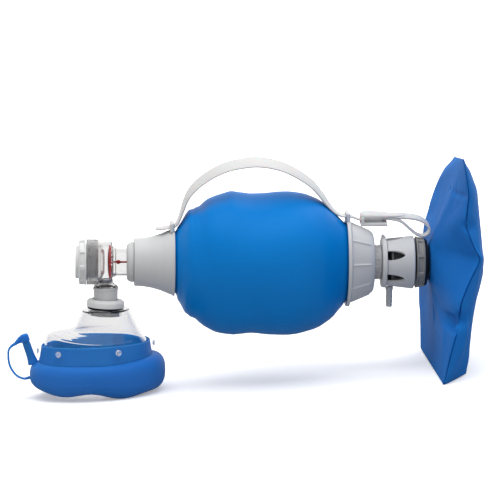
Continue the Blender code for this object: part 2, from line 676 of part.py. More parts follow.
STRAP_ROUTE = [
    (-86.0, 149.4), (-78.0, 150.3), (-71.2, 151.2), (-68.0, 152.8), (-65.4, 156.6), (-63.2, 163.0),
    (-60.8, 171.0), (-57.4, 180.0), (-52.5, 187.5), (-45.5, 194.4), (-33.0, 203.0), (-18.0, 209.2),
    (0.0, 212.2), (10.0, 212.0), (20.0, 210.3), (30.0, 207.2), (40.0, 202.2), (48.5, 196.8),
    (55.5, 191.2), (61.0, 185.0), (66.3, 178.2), (71.5, 171.4), (76.5, 165.9), (81.5, 162.6),
    (87.0, 161.5), (92.0, 161.0), (98.0, 158.7), (103.8, 158.1)]


def strap_section(place, ahead, half):
    """Four corners of the strap: it leans towards -Y as it rises over the bag."""
    chord = 152.0 + (place.x + 68.0) * 0.061
    rise = max(0.0, place.z - chord)
    lean = STRAP_LEAN * min(1.0, rise / 18.0)
    across = Vector((0, math.cos(lean), math.sin(lean)))
    normal = across.cross(ahead).normalized() * (STRAP_THICK / 2)
    middle = Vector((place.x, -rise * math.tan(STRAP_LEAN), place.z))
    side = across * half
    return [middle + side + normal, middle - side + normal, middle - side - normal, middle + side - normal]


def build_strap():
    path = smooth_path([(x, 0, z) for x, z in STRAP_ROUTE], 2)
    rings = []
    for i, place in enumerate(path):
        ahead = (path[min(i + 1, len(path) - 1)] - path[max(i - 1, 0)]).normalized()
        half = STRAP_WIDTH / 2
        if place.x > 90:
            half -= min(3.9, (place.x - 90) * 0.6)
        if place.x < -82:
            half -= (-82 - place.x) * 0.7
        rings.append(strap_section(place, ahead, half))
    smooth(loft("strap_handle", rings, WHITE))


PIN_X, PIN_Z = 102.0, 161.2


def build_clip():
    """Strap clip: a base with two ears, a pin, and a leaf lever that ends in a hanging loop."""
    clip = guide("clip_plate", box_mesh("plate", (100.0, -8.8, 35.2), (124.5, 8.8, 38.0)))
    ears = outline("clip_base", [
        (99.6, 35.2), (104.6, 35.2), (104.6, 43.4), (103.4, 44.6), (100.8, 44.6), (99.6, 43.4)], 8.8, CLEAR)
    combine(ears, clip, "UNION")
    throat = guide("clip_throat", box_mesh("throat", (98, -6.9, 38.0), (106, 6.9, 46)))
    combine(ears, throat, "DIFFERENCE")
    hole = bpy.data.meshes.new("pin_hole")
    bm = bmesh.new()
    bmesh.ops.create_cone(bm, cap_ends=True, segments=12, radius1=1.4 * MM, radius2=1.4 * MM, depth=30 * MM)
    bmesh.ops.rotate(bm, cent=(0, 0, 0), matrix=Matrix.Rotation(math.radians(90), 3, "X"), verts=bm.verts)
    bmesh.ops.translate(bm, vec=Vector((PIN_X, 0, PIN_Z - AXIS_Z)) * MM, verts=bm.verts)
    bm.to_mesh(hole)
    bm.free()
    pin_hole = guide("clip_pin_hole", hole)
    combine(ears, pin_hole, "DIFFERENCE")
    lever = outline("strap_clip", [
        (100.0, 43.8), (100.2, 41.0), (102.0, 40.2), (108.0, 40.6), (118.0, 40.4), (128.0, 39.6), (136.8, 36.4),
        (139.8, 33.6), (146.5, 28.1), (151.6, 24.6), (155.7, 23.4), (159.8, 24.0), (163.4, 26.6),
        (165.2, 30.4), (164.2, 34.2), (159.8, 39.2), (155.0, 41.8), (149.8, 42.8), (141.0, 42.9),
        (136.0, 43.6), (121.0, 44.6), (108.0, 45.2), (101.6, 45.0)],
        4.0, WHITE, hole=[
            (142.0, 36.9), (149.8, 38.5), (156.2, 38.5), (159.6, 36.1), (162.4, 31.0), (160.8, 28.0),
            (156.2, 26.4), (151.6, 27.2), (146.5, 31.2), (142.0, 35.2)])
    combine(lever, pin_hole, "DIFFERENCE")
    pin = bpy.data.meshes.new("clip_pin")
    bm = bmesh.new()
    bmesh.ops.create_cone(bm, cap_ends=True, segments=12, radius1=1.1 * MM, radius2=1.1 * MM, depth=17.6 * MM)
    bm.to_mesh(pin)
    bm.free()
    rod = add("clip_pin", pin, GREY)
    rod.rotation_euler = (math.radians(90), 0, 0)
    rod.location = Vector((PIN_X, 0, PIN_Z - AXIS_Z)) * MM


build_exhalation_port()
build_valve_body()
build_valve_discs()
build_patient_port()
build_front_collar()
build_bag()
build_rear_collar()
build_inlet_neck()
build_inlet_valve()
build_reservoir_nut()
build_reservoir_bag()
build_mask_connector()
build_mask_dome()
build_mask_skirt()
build_mask_cuff()
build_mask_pegs()
build_inflation()
build_strap()
build_clip()
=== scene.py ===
import json
import math
import bmesh
import bpy
from mathutils import Matrix, Vector, noise
from mathutils.kdtree import KDTree

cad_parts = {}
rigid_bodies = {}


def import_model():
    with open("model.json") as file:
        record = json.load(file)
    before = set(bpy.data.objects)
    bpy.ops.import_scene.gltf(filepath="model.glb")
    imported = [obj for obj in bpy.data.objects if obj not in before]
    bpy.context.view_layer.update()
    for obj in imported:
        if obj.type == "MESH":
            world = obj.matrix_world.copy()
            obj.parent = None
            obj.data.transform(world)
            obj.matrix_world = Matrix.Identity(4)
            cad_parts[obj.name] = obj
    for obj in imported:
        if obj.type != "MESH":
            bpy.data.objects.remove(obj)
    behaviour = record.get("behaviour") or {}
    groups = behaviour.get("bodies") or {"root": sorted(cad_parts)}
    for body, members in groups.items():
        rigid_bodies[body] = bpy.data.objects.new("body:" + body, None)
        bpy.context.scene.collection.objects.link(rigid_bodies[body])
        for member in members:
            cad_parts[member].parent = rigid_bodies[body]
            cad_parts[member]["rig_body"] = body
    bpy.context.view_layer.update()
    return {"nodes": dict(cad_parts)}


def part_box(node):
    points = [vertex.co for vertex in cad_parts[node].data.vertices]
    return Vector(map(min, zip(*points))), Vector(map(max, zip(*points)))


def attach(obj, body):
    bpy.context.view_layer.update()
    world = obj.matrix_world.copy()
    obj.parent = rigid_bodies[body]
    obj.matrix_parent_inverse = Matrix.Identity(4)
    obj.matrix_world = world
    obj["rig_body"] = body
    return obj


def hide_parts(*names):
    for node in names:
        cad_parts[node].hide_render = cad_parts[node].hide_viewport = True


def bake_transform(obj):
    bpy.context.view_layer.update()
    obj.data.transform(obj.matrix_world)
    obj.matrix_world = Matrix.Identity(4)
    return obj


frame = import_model()

# Lengths are in millimetres until place() turns them into metres of the row frame.
# Local X is measured from the middle of the bag, and Z from the mask's lowest point.
MM = 0.001
PATIENT_X = -131.0
port_low, port_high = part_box("exhalation_port")
connector_low, connector_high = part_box("patient_connector")
SHIFT_X = (connector_low.x + connector_high.x) / 2 / MM - PATIENT_X
AXIS_Z = (port_low.z + port_high.z) / 2 / MM
FINE = 160                 # steps round a turned piece
COLLAR_TOP = 85.0          # height of the mask collar's rim, about which the mask tilts
MASK_TILT = math.radians(2.5)
MASK_X = -140.0            # middle of the dome and the skirt
SKIRT_A, SKIRT_B = 49.6, 39.6                  # half length and half width of the skirt's top edge
CUFF_X, CUFF_A, CUFF_B = -138.3, 61.7, 49.0    # the cuff's middle, half length and half width
CUFF_TUBE = 13.5           # half the width of the cuff's cushion
EGG = 0.10                 # how much narrower the mask's outline is at its nose end
STRAP_LEAN = math.radians(20)                  # the strap's arch leans towards the viewer
CLIP_LEAN = 0.22           # how far the strap's clip rises across its width


def place(x, y, z):
    return Vector(((x + SHIFT_X) * MM, y * MM, z * MM))


# ---------------------------------------------------------------- materials

def node_material(name):
    mat = bpy.data.materials.new(name)
    mat.use_nodes = True
    return mat, mat.node_tree.nodes, mat.node_tree.links, mat.node_tree.nodes["Principled BSDF"]


def set_inputs(node, **values):
    """Set a shader node's inputs; an underscore stands for a space in an input's name."""
    for socket, value in values.items():
        node.inputs[socket.replace("_", " ")].default_value = value


def noise_texture(nodes, links, scale, detail, roughness):
    spot = nodes.new("ShaderNodeTexCoord")
    texture = nodes.new("ShaderNodeTexNoise")
    set_inputs(texture, Scale=scale, Detail=detail, Roughness=roughness)
    links.new(spot.outputs["Object"], texture.inputs["Vector"])
    return texture.outputs["Fac"]


def mixed(nodes, links, factor, at_zero, at_one):
    """A value between two others; each may be a number or a node's output."""
    node = nodes.new("ShaderNodeMix")
    for socket, value in (("Factor", factor), ("A", at_zero), ("B", at_one)):
        if isinstance(value, float):
            node.inputs[socket].default_value = value
        else:
            links.new(value, node.inputs[socket])
    return node.outputs["Result"]


def ranged(nodes, links, value, low, high, at_low, at_high):
    """A value that runs smoothly from at_low to at_high as another runs from low to high."""
    node = nodes.new("ShaderNodeMapRange")
    node.interpolation_type = "SMOOTHSTEP"
    set_inputs(node, From_Min=low, From_Max=high, To_Min=at_low, To_Max=at_high)
    links.new(value, node.inputs["Value"])
    return node.outputs["Result"]


def surface(name, dark, light, gloss, drift=22, grain=900, bump=0.05, depth=0.0002, **constants):
    """A moulded surface: two close shades drift across it, with a fine grain in its gloss and height."""
    mat, nodes, links, shader = node_material(name)
    shades = nodes.new("ShaderNodeMix")
    shades.data_type = "RGBA"
    set_inputs(shades, A=(*dark, 1), B=(*light, 1))
    links.new(noise_texture(nodes, links, drift, 3, 0.5), shades.inputs["Factor"])
    links.new(shades.outputs["Result"], shader.inputs["Base Color"])
    fine = noise_texture(nodes, links, grain, 4, 0.6)
    spread = nodes.new("ShaderNodeMapRange")
    set_inputs(spread, To_Min=gloss[0], To_Max=gloss[1])
    links.new(fine, spread.inputs["Value"])
    links.new(spread.outputs["Result"], shader.inputs["Roughness"])
    height = nodes.new("ShaderNodeBump")
    set_inputs(height, Strength=bump, Distance=depth)
    links.new(fine, height.inputs["Height"])
    links.new(height.outputs["Normal"], shader.inputs["Normal"])
    set_inputs(shader, **constants)
    return mat


FINISHES = {             # two close shades, the least and most roughness, and what else the surface has
    "blue_silicone": (
        (0.0, 0.185, 0.585), (0.0, 0.21, 0.645), (0.34, 0.44), dict(bump=0.03, Specular_IOR_Level=0.14)),
    "blue_vinyl": (
        (0.012, 0.16, 0.55), (0.03, 0.19, 0.61), (0.42, 0.56),
        dict(grain=1500, bump=0.08, Specular_IOR_Level=0.2, Subsurface_Weight=0.5, Subsurface_Scale=0.012,
             Subsurface_Radius=(0.6, 0.8, 1.0))),
    "blue_film": (
        (0.008, 0.145, 0.50), (0.02, 0.175, 0.57), (0.5, 0.64),
        dict(drift=30, grain=700, bump=0.12, Specular_IOR_Level=0.03)),
    "grey_plastic": ((0.58, 0.585, 0.59), (0.63, 0.635, 0.64), (0.38, 0.48), dict(grain=1400)),
    # painted light: a lighter copy of grey_plastic for the exhalation port and the mask collar, where more
    # light falls at the left end
    "grey_plastic_painted_light": ((0.74, 0.745, 0.745), (0.79, 0.795, 0.795), (0.36, 0.46), dict(grain=1400)),
    "dark_grey_plastic": ((0.48, 0.49, 0.50), (0.53, 0.54, 0.55), (0.4, 0.5), {}),
    "beige_grey_plastic": (
        (0.25, 0.25, 0.235), (0.30, 0.295, 0.28), (0.42, 0.54), dict(grain=1300, bump=0.06)),
    "clear_plastic": (
        (0.93, 0.925, 0.925), (0.95, 0.945, 0.945), (0.0, 0.03),
        dict(drift=40, grain=300, bump=0.03, Transmission_Weight=1.0, IOR=1.49)),
    # painted highlight: a whiter, less clear copy of the clear plastic, standing in for the bright rims on
    # the clear pegs
    "clear_plastic_painted_highlight": (
        (0.90, 0.90, 0.91), (0.95, 0.95, 0.955), (0.05, 0.15),
        dict(drift=40, grain=300, bump=0.03, Transmission_Weight=0.7, IOR=1.49)),
    "red_silicone": ((0.50, 0.008, 0.012), (0.62, 0.015, 0.02), (0.3, 0.42), dict(bump=0.03)),
    "black_rubber": (
        (0.008, 0.009, 0.011), (0.018, 0.02, 0.023), (0.6, 0.75),
        dict(grain=1200, bump=0.1, Specular_IOR_Level=0.2)),
    "grey_silicone": ((0.08, 0.09, 0.1), (0.13, 0.14, 0.155), (0.45, 0.6), {}),
    "white_plastic": (
        (0.60, 0.60, 0.60), (0.66, 0.66, 0.66), (0.38, 0.48),
        dict(grain=1100, Subsurface_Weight=0.25, Subsurface_Scale=0.002)),
}
MATERIALS = {name: surface(name, dark, light, gloss, **more)
             for name, (dark, light, gloss, more) in FINISHES.items()}


# ---------------------------------------------------------------- shared modelling helpers

def mesh_object(name, bm):
    bmesh.ops.recalc_face_normals(bm, faces=bm.faces)
    if all(edge.is_manifold for edge in bm.edges) and bm.calc_volume(signed=True) < 0:
        bmesh.ops.reverse_faces(bm, faces=bm.faces)
    mesh = bpy.data.meshes.new(name)
    bm.to_mesh(mesh)
    bm.free()
    obj = bpy.data.objects.new(name, mesh)
    bpy.context.scene.collection.objects.link(obj)
    return obj


def settle(obj, body, nodes, slot, sharp=35, weighted=True, look=None):
    """Give a finished piece its material, and let it ride on its body in place of its CAD nodes.

    look is the material's name where it isn't the slot's: a lighter copy of the slot's material that
    carries painted light.
    """
    obj.data.materials.append(MATERIALS[look or slot])
    obj.data.shade_smooth()
    obj.data.set_sharp_from_angle(angle=math.radians(sharp))
    if weighted:
        mod = obj.modifiers.new("weighted_normals", "WEIGHTED_NORMAL")
        mod.keep_sharp = True
    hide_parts(*nodes)
    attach(obj, body)
    return obj


def apply_modifiers(obj):
    evaluated = obj.evaluated_get(bpy.context.evaluated_depsgraph_get())
    mesh = bpy.data.meshes.new_from_object(evaluated)
    obj.modifiers.clear()
    obj.data = mesh
    return obj


def cut(obj, *tools, operation="DIFFERENCE"):
    """Join or cut with other solids, which are used up."""
    for tool in tools:
        mod = obj.modifiers.new("cut", "BOOLEAN")
        mod.operation = operation
        mod.object = tool
        mod.solver = "EXACT"
        bpy.context.view_layer.update()
        apply_modifiers(obj)
        bpy.data.objects.remove(tool)
    return obj


def circle(count, first=0.0):
    """The angle, its cosine and its sine at count equal steps round a circle."""
    for k in range(count):
        angle = 2 * math.pi * (k + first) / count
        yield angle, math.cos(angle), math.sin(angle)


def squarer(value, power):
    """A cosine or sine changed so that its circle comes nearer to a square."""
    return math.copysign(abs(value) ** power, value)


def bend(start, corner, end, steps):
    """Points along a curve that rounds off a corner."""
    return [start * (1 - t) ** 2 + corner * 2 * t * (1 - t) + end * t * t
            for t in (k / steps for k in range(steps + 1))]


def soften(points, share=0.4, steps=4, cyclic=True):
    """Round each corner of an outline. A point is (a, b) or (a, b, reach of its rounding)."""
    count = len(points)
    out = []
    for i, point in enumerate(points):
        here = Vector(point[:2])
        reach = point[2] if len(point) > 2 else 0
        if not reach or (not cyclic and i in (0, count - 1)):
            out.append(here)
            continue
        before, after = Vector(points[i - 1][:2]), Vector(points[(i + 1) % count][:2])
        start = here + (before - here).normalized() * min(reach, (before - here).length * share)
        end = here + (after - here).normalized() * min(reach, (after - here).length * share)
        out += bend(start, here, end, steps)
    return out


def dense(points, step, cyclic=True):
    """More points along an outline's longer stretches."""
    out = []
    count = len(points)
    for i in range(count if cyclic else count - 1):
        a, b = points[i], points[(i + 1) % count]
        parts = max(1, math.ceil((b - a).length / step))
        out += [a.lerp(b, k / parts) for k in range(parts)]
    if not cyclic:
        out.append(points[-1])
    return out


def smooth_path(points, per_span, cyclic=False):
    """A smooth curve (Catmull-Rom) through points of any number of coordinates, as a longer list."""
    pts = [Vector(p) for p in points]
    count = len(pts)
    out = []
    for i in range(count if cyclic else count - 1):
        p1, p2 = pts[i], pts[(i + 1) % count]
        p0 = pts[(i - 1) % count] if cyclic or i else p1
        p3 = pts[(i + 2) % count] if cyclic or i + 2 < count else p2
        for k in range(per_span):
            t = k / per_span
            out.append(0.5 * ((2 * p1) + (p2 - p0) * t + (2 * p0 - 5 * p1 + 4 * p2 - p3) * t ** 2
                              + (3 * p1 - p0 - 3 * p2 + p3) * t ** 3))
    if not cyclic:
        out.append(pts[-1])
    return out


def bag_axis(along, radius, angle):
    """A point about the bag's axis; the angle runs from the viewer's side (-Y) upwards."""
    return place(along, -radius * math.cos(angle), AXIS_Z + radius * math.sin(angle))


def upright(x, lean=0.0, pivot=0.0, start=0.0):
    """Points about a vertical axis at x that leans about Y. The point start along it is at height pivot."""
    def point(along, radius, angle):
        up = along - start
        side = radius * math.cos(angle)
        return place(x + side * math.cos(lean) - up * math.sin(lean), radius * math.sin(angle),
                     pivot + up * math.cos(lean) + side * math.sin(lean))
    return point


def outwards(centre, direction):
    """Points about an axis that starts at a centre and runs along a direction."""
    turn = direction.to_track_quat("Z", "Y").to_matrix()

    def point(along, radius, angle):
        return centre + turn @ Vector((radius * math.cos(angle), radius * math.sin(angle), along)) * MM
    return point


def turned(name, outline, where=bag_axis, segs=FINE, relief=None, closed=True, share=0.4, steps=4,
           step=None):
    """Turn an outline of (along, radius) or (along, radius, reach of its rounding) about an axis.

    relief changes the radius by place and angle, and step divides the outline's longer stretches.
    """
    if any(len(point) > 2 for point in outline):
        outline = soften(outline, share, steps, closed)
    if step:
        outline = dense(outline, step, closed)
    bm = bmesh.new()
    rows = []
    for along, radius in outline:
        if radius < 0.001:
            rows.append([bm.verts.new(where(along, 0, 0))])
            continue
        row = []
        for angle, _, _ in circle(segs):
            change = relief(along, radius, angle) if relief else 0.0
            row.append(bm.verts.new(where(along, radius + change, angle)))
        rows.append(row)
    for i in range(len(rows) if closed else len(rows) - 1):
        a, b = rows[i], rows[(i + 1) % len(rows)]
        if len(a) == 1 and len(b) == 1:
            continue
        for j in range(segs):
            k = (j + 1) % segs
            if len(a) == 1:
                bm.faces.new((a[0], b[k], b[j]))
            elif len(b) == 1:
                bm.faces.new((a[j], a[k], b[0]))
            else:
                bm.faces.new((a[j], a[k], b[k], b[j]))
    return mesh_object(name, bm)


def lathe(name, body, node, slot, outline, sharp=35, look=None, **form):
    """A turned piece that needs no cutting, finished and riding in place of its CAD node."""
    settle(turned(name, outline, **form), body, [node] if node else [], slot, sharp=sharp, look=look)


def loft(name, rings, closed_along=False, capped=True):
    """Skin a list of equal rings of points in metres."""
    bm = bmesh.new()
    rows = [[bm.verts.new(point) for point in points] for points in rings]
    for i in range(len(rows) if closed_along else len(rows) - 1):
        a, b = rows[i], rows[(i + 1) % len(rows)]
        for j in range(len(a)):
            k = (j + 1) % len(a)
            bm.faces.new((a[j], a[k], b[k], b[j]))
    if capped and not closed_along:
        bm.faces.new(rows[0])
        bm.faces.new(rows[-1])
    return mesh_object(name, bm)


def rounded_box(name, low, high, radius, segments=3):
    bm = bmesh.new()
    bmesh.ops.create_cube(bm, size=1)
    a, b = place(*low), place(*high)
    bmesh.ops.scale(bm, vec=b - a, verts=bm.verts)
    bmesh.ops.translate(bm, vec=(a + b) / 2, verts=bm.verts)
    if radius:
        bmesh.ops.bevel(bm, geom=bm.edges[:], offset=radius * MM, segments=segments, profile=0.5,
                        affect="EDGES", clamp_overlap=True)
    return mesh_object(name, bm)


def plateau(t, half, soft):
    """1 inside half, falling smoothly to 0 over the last soft of it."""
    s = min(1.0, max(0.0, (half - abs(t)) / soft))
    return s * s * (3 - 2 * s)


def hump(t, width):
    return math.exp(-(t / width) ** 2)


def angle_from(angle, first, count):
    """Degrees from the nearest of count equal places round an axis, the first at the given angle."""
    pitch = 360.0 / count
    return (math.degrees(angle) - first + pitch / 2) % pitch - pitch / 2


def heading(path, i):
    """The direction of a path at its point i."""
    return (path[min(i + 1, len(path) - 1)] - path[max(i - 1, 0)]).normalized()


def swept(name, path, sections):
    """Skin rounded sections along a path. Each is (across, normal, half width, half thickness)."""
    rings = []
    for centre, (across, normal, half, thick) in zip(path, sections):
        ring = []
        for _, c, s in circle(20, 0.5):
            flat = max(0.0, half - thick) * (1 if c > 0 else -1)
            ring.append(centre + (across * (flat + c * thick) + normal * (s * thick)) * MM)
        rings.append(ring)
    return loft(name, rings)


def interpolate(table, x):
    """Smooth reading of a short table of (x, value)."""
    if x <= table[0][0]:
        return table[0][1]
    for (x0, v0), (x1, v1) in zip(table, table[1:]):
        if x <= x1:
            t = (x - x0) / (x1 - x0)
            t = t * t * (3 - 2 * t)
            return v0 + (v1 - v0) * t
    return table[-1][1]


def finger_pockets(inside, depth, first, wide, middle, long):
    """A relief of eight shallow pockets round a rim. wide and long are (half size, softness of ends)."""
    def relief(along, radius, angle):
        if radius < inside:
            return 0.0
        return -depth * plateau(angle_from(angle, first, 8), *wide) * plateau(along - middle, *long)
    return relief


# ---------------------------------------------------------------- patient valve

def make_exhalation_port():
    rim, face = 20.8, 14.8
    # The cap is given a lighter copy of the grey plastic: painted light.
    lathe("exhalation_port_cap", "patient_valve", "exhalation_port", "grey_plastic", [
        (-138.6, 15.4), (-138.6, 16.6, 0.3), (-148.3, 16.6), (-148.7, 16.9), (-148.7, rim, 0.5),
        (-155.6, rim, 3.6), (-155.6, face, 0.3), (-158.7, face, 0.8), (-158.7, 12.4, 0.4), (-153.4, 12.4),
        (-153.4, 15.4)], share=0.45, steps=6, step=0.4, segs=320, sharp=50, look="grey_plastic_painted_light",
        relief=finger_pockets(17.5, 1.8, 14.5, (18.0, 2.2), -152.3, (2.3, 0.6)))


def make_thread_ring():
    pitch, length, radius, depth = 1.55, 10.2, 20.75, 0.4
    outer = []
    steps = 60
    for i in range(steps + 1):
        x = -137.9 - length * i / steps
        outer.append(Vector((x, radius + depth * math.cos(2 * math.pi * (x + 138.6) / pitch))))
    outline = [Vector((-137.6, 18.95)), Vector((-137.6, 20.4))] + outer
    outline += [Vector((-148.4, 20.4)), Vector((-148.4, 18.95))]
    ring = turned("clear_thread_ring", outline)
    settle(ring, "patient_valve", ["thread_ring"], "clear_plastic")


def make_valve_housing():
    tube, bore, inner = 12.7, 11.2, 16.9
    housing = turned("clear_valve_housing", [
        (-100.6, bore), (-100.6, tube, 0.3), (-122.1, tube, 0.5), (-122.1, 14.3, 0.5), (-125.0, 14.3, 0.6),
        (-125.1, 17.6, 0.3), (-126.6, 19.1, 1.2), (-137.4, 19.1), (-137.4, 18.5), (-147.9, 18.5),
        (-147.9, inner), (-126.6, inner), (-126.6, bore)], segs=96)
    tee = turned("tee", [
        (104.2, 0), (103.8, 6.2), (99.6, 7.4, 1.0), (97.6, 10.4, 0.8), (96.4, 11.4, 0.3), (96.4, 8.6),
        (87.0, 8.6), (87.0, 0)], where=upright(PATIENT_X), segs=64, closed=False)
    cut(housing, tee, operation="UNION")
    cut(housing, turned("bore", [(-126.9, 0), (-126.9, inner + 0.05), (-145, inner + 0.05), (-145, 0)],
                        segs=96, closed=False))
    cut(housing, turned("tee_bore", [(105, 0), (105, 4.6), (98.2, 4.6), (95.8, 7.2), (86, 7.2), (86, 0)],
                        where=upright(PATIENT_X), segs=64, closed=False))
    settle(housing, "patient_valve", ["valve_housing"], "clear_plastic")


def make_exhalation_seat():
    """The pierced disc that the exhalation flap closes on, and the bell behind the shutter."""
    lathe("clear_valve_bell", "patient_valve", None, "clear_plastic", [
        (-138.4, 15.3), (-138.4, 16.5, 0.4), (-137.0, 16.5, 0.8), (-134.2, 14.6, 1.8), (-132.2, 10.6, 2.2),
        (-132.2, 9.4), (-133.3, 9.4), (-133.5, 10.4, 1.6), (-135.2, 13.6, 1.8), (-137.2, 15.3, 0.8)])
    seat = turned("clear_exhalation_seat", [
        (-146.4, 0), (-146.4, 15.25, 0.2), (-145.0, 15.25, 0.2), (-145.0, 0)], segs=96, closed=False)
    for number in range(6):
        turn = math.radians(60 * number)
        where = outwards(bag_axis(-143.0, 9.5, turn), Vector((-1, 0, 0)))
        cut(seat, turned("hole", [(0, 0), (0, 3.2), (6, 3.2), (6, 0)], where=where, segs=32, closed=False))
    settle(seat, "patient_valve", ["exhalation_seat"], "clear_plastic")


def make_shutter():
    lathe("red_shutter", "shutter", "shutter_valve", "red_silicone", [
        (-111.6, 0), (-111.6, 0.8, 0.2), (-117.4, 0.8), (-119.4, 2.1, 0.5), (-121.8, 0.8),
        (-126.5, 0.8, 0.2), (-126.9, 2.6, 0.6), (-126.9, 15.8, 0.3), (-127.9, 15.8, 0.3), (-129.2, 9.0, 2),
        (-129.4, 0)], closed=False)


def make_patient_connector():
    lathe("grey_patient_connector", "connector", "patient_connector", "grey_plastic", [
        (95.9, 8.95, 0.3), (95.9, 11.5, 0.5), (94.1, 11.5, 0.4), (93.7, 11.0, 0.2), (76.6, 10.5, 0.5),
        (76.6, 7.5, 0.3), (86.4, 7.5), (86.4, 8.95)], where=upright(PATIENT_X))


# ---------------------------------------------------------------- bag and its collars

def make_front_collar():
    collar = turned("grey_front_collar", [
        (-68.6, 28.6), (-68.6, 30.9, 0.4), (-70.4, 30.9, 0.4), (-70.9, 30.1, 0.5), (-75.4, 28.4, 1.5),
        (-81.0, 25.9, 2.0), (-90.9, 23.1, 3.0), (-98.0, 22.0, 2.5), (-104.9, 21.7, 0.4),
        (-105.4, 21.2, 0.4), (-105.4, 13.2), (-103.4, 13.2), (-103.4, 19.6), (-98.0, 20.0, 1.0),
        (-90.9, 21.1, 1.5), (-81.0, 23.9, 1.5), (-72.0, 27.6)], segs=128)
    cut(collar, rounded_box("lug", (-73.0, -13, 147.0), (-69.2, 13, 155.6), 1.4), operation="UNION")
    cut(collar, rounded_box("slot", (-80, -10.6, 149.8), (-60, 10.6, 153.5), 0.8))
    settle(collar, "bag", ["front_collar"], "grey_plastic", sharp=40)
    lathe("grey_swivel_ring", "bag", "swivel_ring", "grey_plastic", [
        (-105.7, 13.2), (-105.7, 18.3, 0.4), (-108.4, 18.3, 1.8), (-111.9, 16.2, 2.8), (-111.9, 13.2, 0.3),
        (-109.8, 13.2), (-109.8, 14.9), (-107.4, 14.9), (-107.4, 13.2)], share=0.48)


BAG_OUTLINE = [
    (108.2, 24.4), (91.0, 32.6), (87.2, 35.2), (80.0, 41.7), (72.0, 49.6), (63.0, 56.8), (51.0, 62.3),
    (37.0, 64.8), (18.0, 65.0), (0.0, 64.4), (-16.0, 64.4), (-31.0, 61.6), (-42.0, 56.8), (-51.0, 49.6),
    (-57.5, 43.4), (-62.5, 36.4), (-66.0, 31.8), (-68.2, 28.0), (-76.4, 25.0), (-90.0, 20.2), (-99.0, 19.4)]
# How far the soft bag stands out from its round form along its top and its underside
BAG_TOP = [
    (-66, 0), (-56, 2.2), (-51, -0.6), (-46, -2.6), (-38, -1.0), (-28, -0.6), (-18, 0.2), (-9, -1.2),
    (0, -1.9), (12, -1.8), (26, -0.9), (40, -0.5), (52, 0), (65, 0.6), (76, 0.6), (86, 0)]
BAG_UNDER = [
    (-68, 0), (-65, 2.5), (-59.5, 4.4), (-56, 3.2), (-49, 0.5), (-41, 0.8), (-30, 1.9), (-16, 1.6),
    (-8, 0.8), (1, 0.2), (18, 1.1), (40, 1.3), (50, 1.2), (65, 2.4), (76, 3.6), (83, 2.2), (87, 0)]
BAG_DENTS = [            # along, angle, depth, length, spread in degrees
    (-44, 12, -1.3, 7, 28), (-55, -20, 1.0, 5, 40), (-30, -35, -0.8, 10, 25), (22, 62, -1.0, 30, 22),
    (62, 35, -0.9, 12, 18), (10, 5, 0.6, 45, 25), (68, -30, 0.8, 14, 30), (-20, 50, 0.7, 16, 18),
    (35, 130, -1.2, 22, 25), (-35, 150, 1.0, 15, 30), (0, 190, -1.0, 30, 30), (50, 230, 0.9, 20, 30)]


def bag_relief(along, radius, angle):
    top = max(0.0, math.sin(angle)) ** 2 * interpolate(BAG_TOP, along)
    under = max(0.0, -math.sin(angle)) ** 2 * interpolate(BAG_UNDER, along)
    free = plateau(along - 9.5, 77, 22)
    dents = 0.0
    for x, degrees, depth, length, wide in BAG_DENTS:
        away = (math.degrees(angle) - degrees + 180) % 360 - 180
        dents += depth * hump(along - x, length) * hump(away, wide)
    spot = Vector((along / 34, 1.5 * math.cos(angle), 1.5 * math.sin(angle)))
    return top + under + free * (dents + 0.9 * noise.noise(spot))


def make_outer_bag():
    outer = smooth_path(BAG_OUTLINE, 8)
    inner = [Vector((p.x, p.y - 2.0)) for p in reversed(outer)]
    bag = turned("blue_outer_bag", outer + inner, segs=192, relief=bag_relief)
    settle(bag, "bag", ["outer_bag"], "blue_silicone", sharp=60, weighted=False)


def make_rear_collar():
    def relief(along, radius, angle):
        """Ten narrow ribs along the outside of the cone."""
        inner_radius = 68.4 - 0.365 * along
        if radius < 26 or radius < inner_radius + 0.4:
            return 0.0
        return 1.1 * hump(angle_from(angle, 3.0, 10), 1.35) * plateau(along - 100.4, 9.6, 1.2)
    collar = turned("grey_rear_collar", [
        (112.4, 16.2), (112.4, 26.2, 3.4), (108.6, 29.3, 2.4), (91.4, 36.7, 0.6), (90.6, 38.6, 0.8),
        (90.2, 40.3, 0.6), (87.2, 40.3, 0.5), (87.2, 37.2), (90.8, 34.0), (109.8, 26.0), (109.8, 16.2)],
        step=1.0, segs=360, relief=relief)
    cut(collar, rounded_box("lug", (86.8, -13, 157.0), (90.2, 13, 164.8), 1.3), operation="UNION")
    cut(collar, rounded_box("slot", (80, -10.6, 160.0), (100, 10.6, 163.0), 0.8))
    settle(collar, "bag", ["rear_collar"], "grey_plastic", sharp=40)


def make_inlet_neck():
    def relief(along, radius, angle):
        if radius < 15 or along < 111 or along > 118:
            return 0.0
        return -0.5 * plateau(angle_from(angle, 4, 12), 12, 2)
    lathe("dark_inlet_neck", "bag", "inlet_neck", "dark_grey_plastic", [
        (119.2, 13.0), (119.2, 15.7, 0.4), (109.1, 15.7, 0.6), (109.1, 21.6), (106.4, 21.6), (106.4, 14.6),
        (104.0, 14.6), (104.0, 13.0)], step=0.8, segs=180, relief=relief)


# ---------------------------------------------------------------- inlet valve and reservoir

def window_cutter(number, degrees):
    """A pointed oval that narrows towards the nut, with its edge eased at the outside."""
    start, length, widest, wall_radius = 122.5, 17.2, 4.7, 22.0
    rings = []
    for depth, grow in ((16.0, 0.0), (21.6, 0.0), (22.6, 0.25), (26.0, 1.6)):
        ring = []
        steps = 40
        for i in range(steps):
            t = i / steps * 2
            side = 1 if t < 1 else -1
            t = t if t < 1 else 2 - t
            half = widest * max(0.0, 1 - t ** 2.4) ** 0.7
            half = half * min(1.0, 0.82 + t) + grow * (1 if half > 0.1 else 0.2)
            angle = math.radians(degrees) + side * half / wall_radius
            ring.append(bag_axis(start + length * t + grow * 0.4 * t, depth, angle))
        rings.append(ring)
    return loft(f"window_{number}", rings)


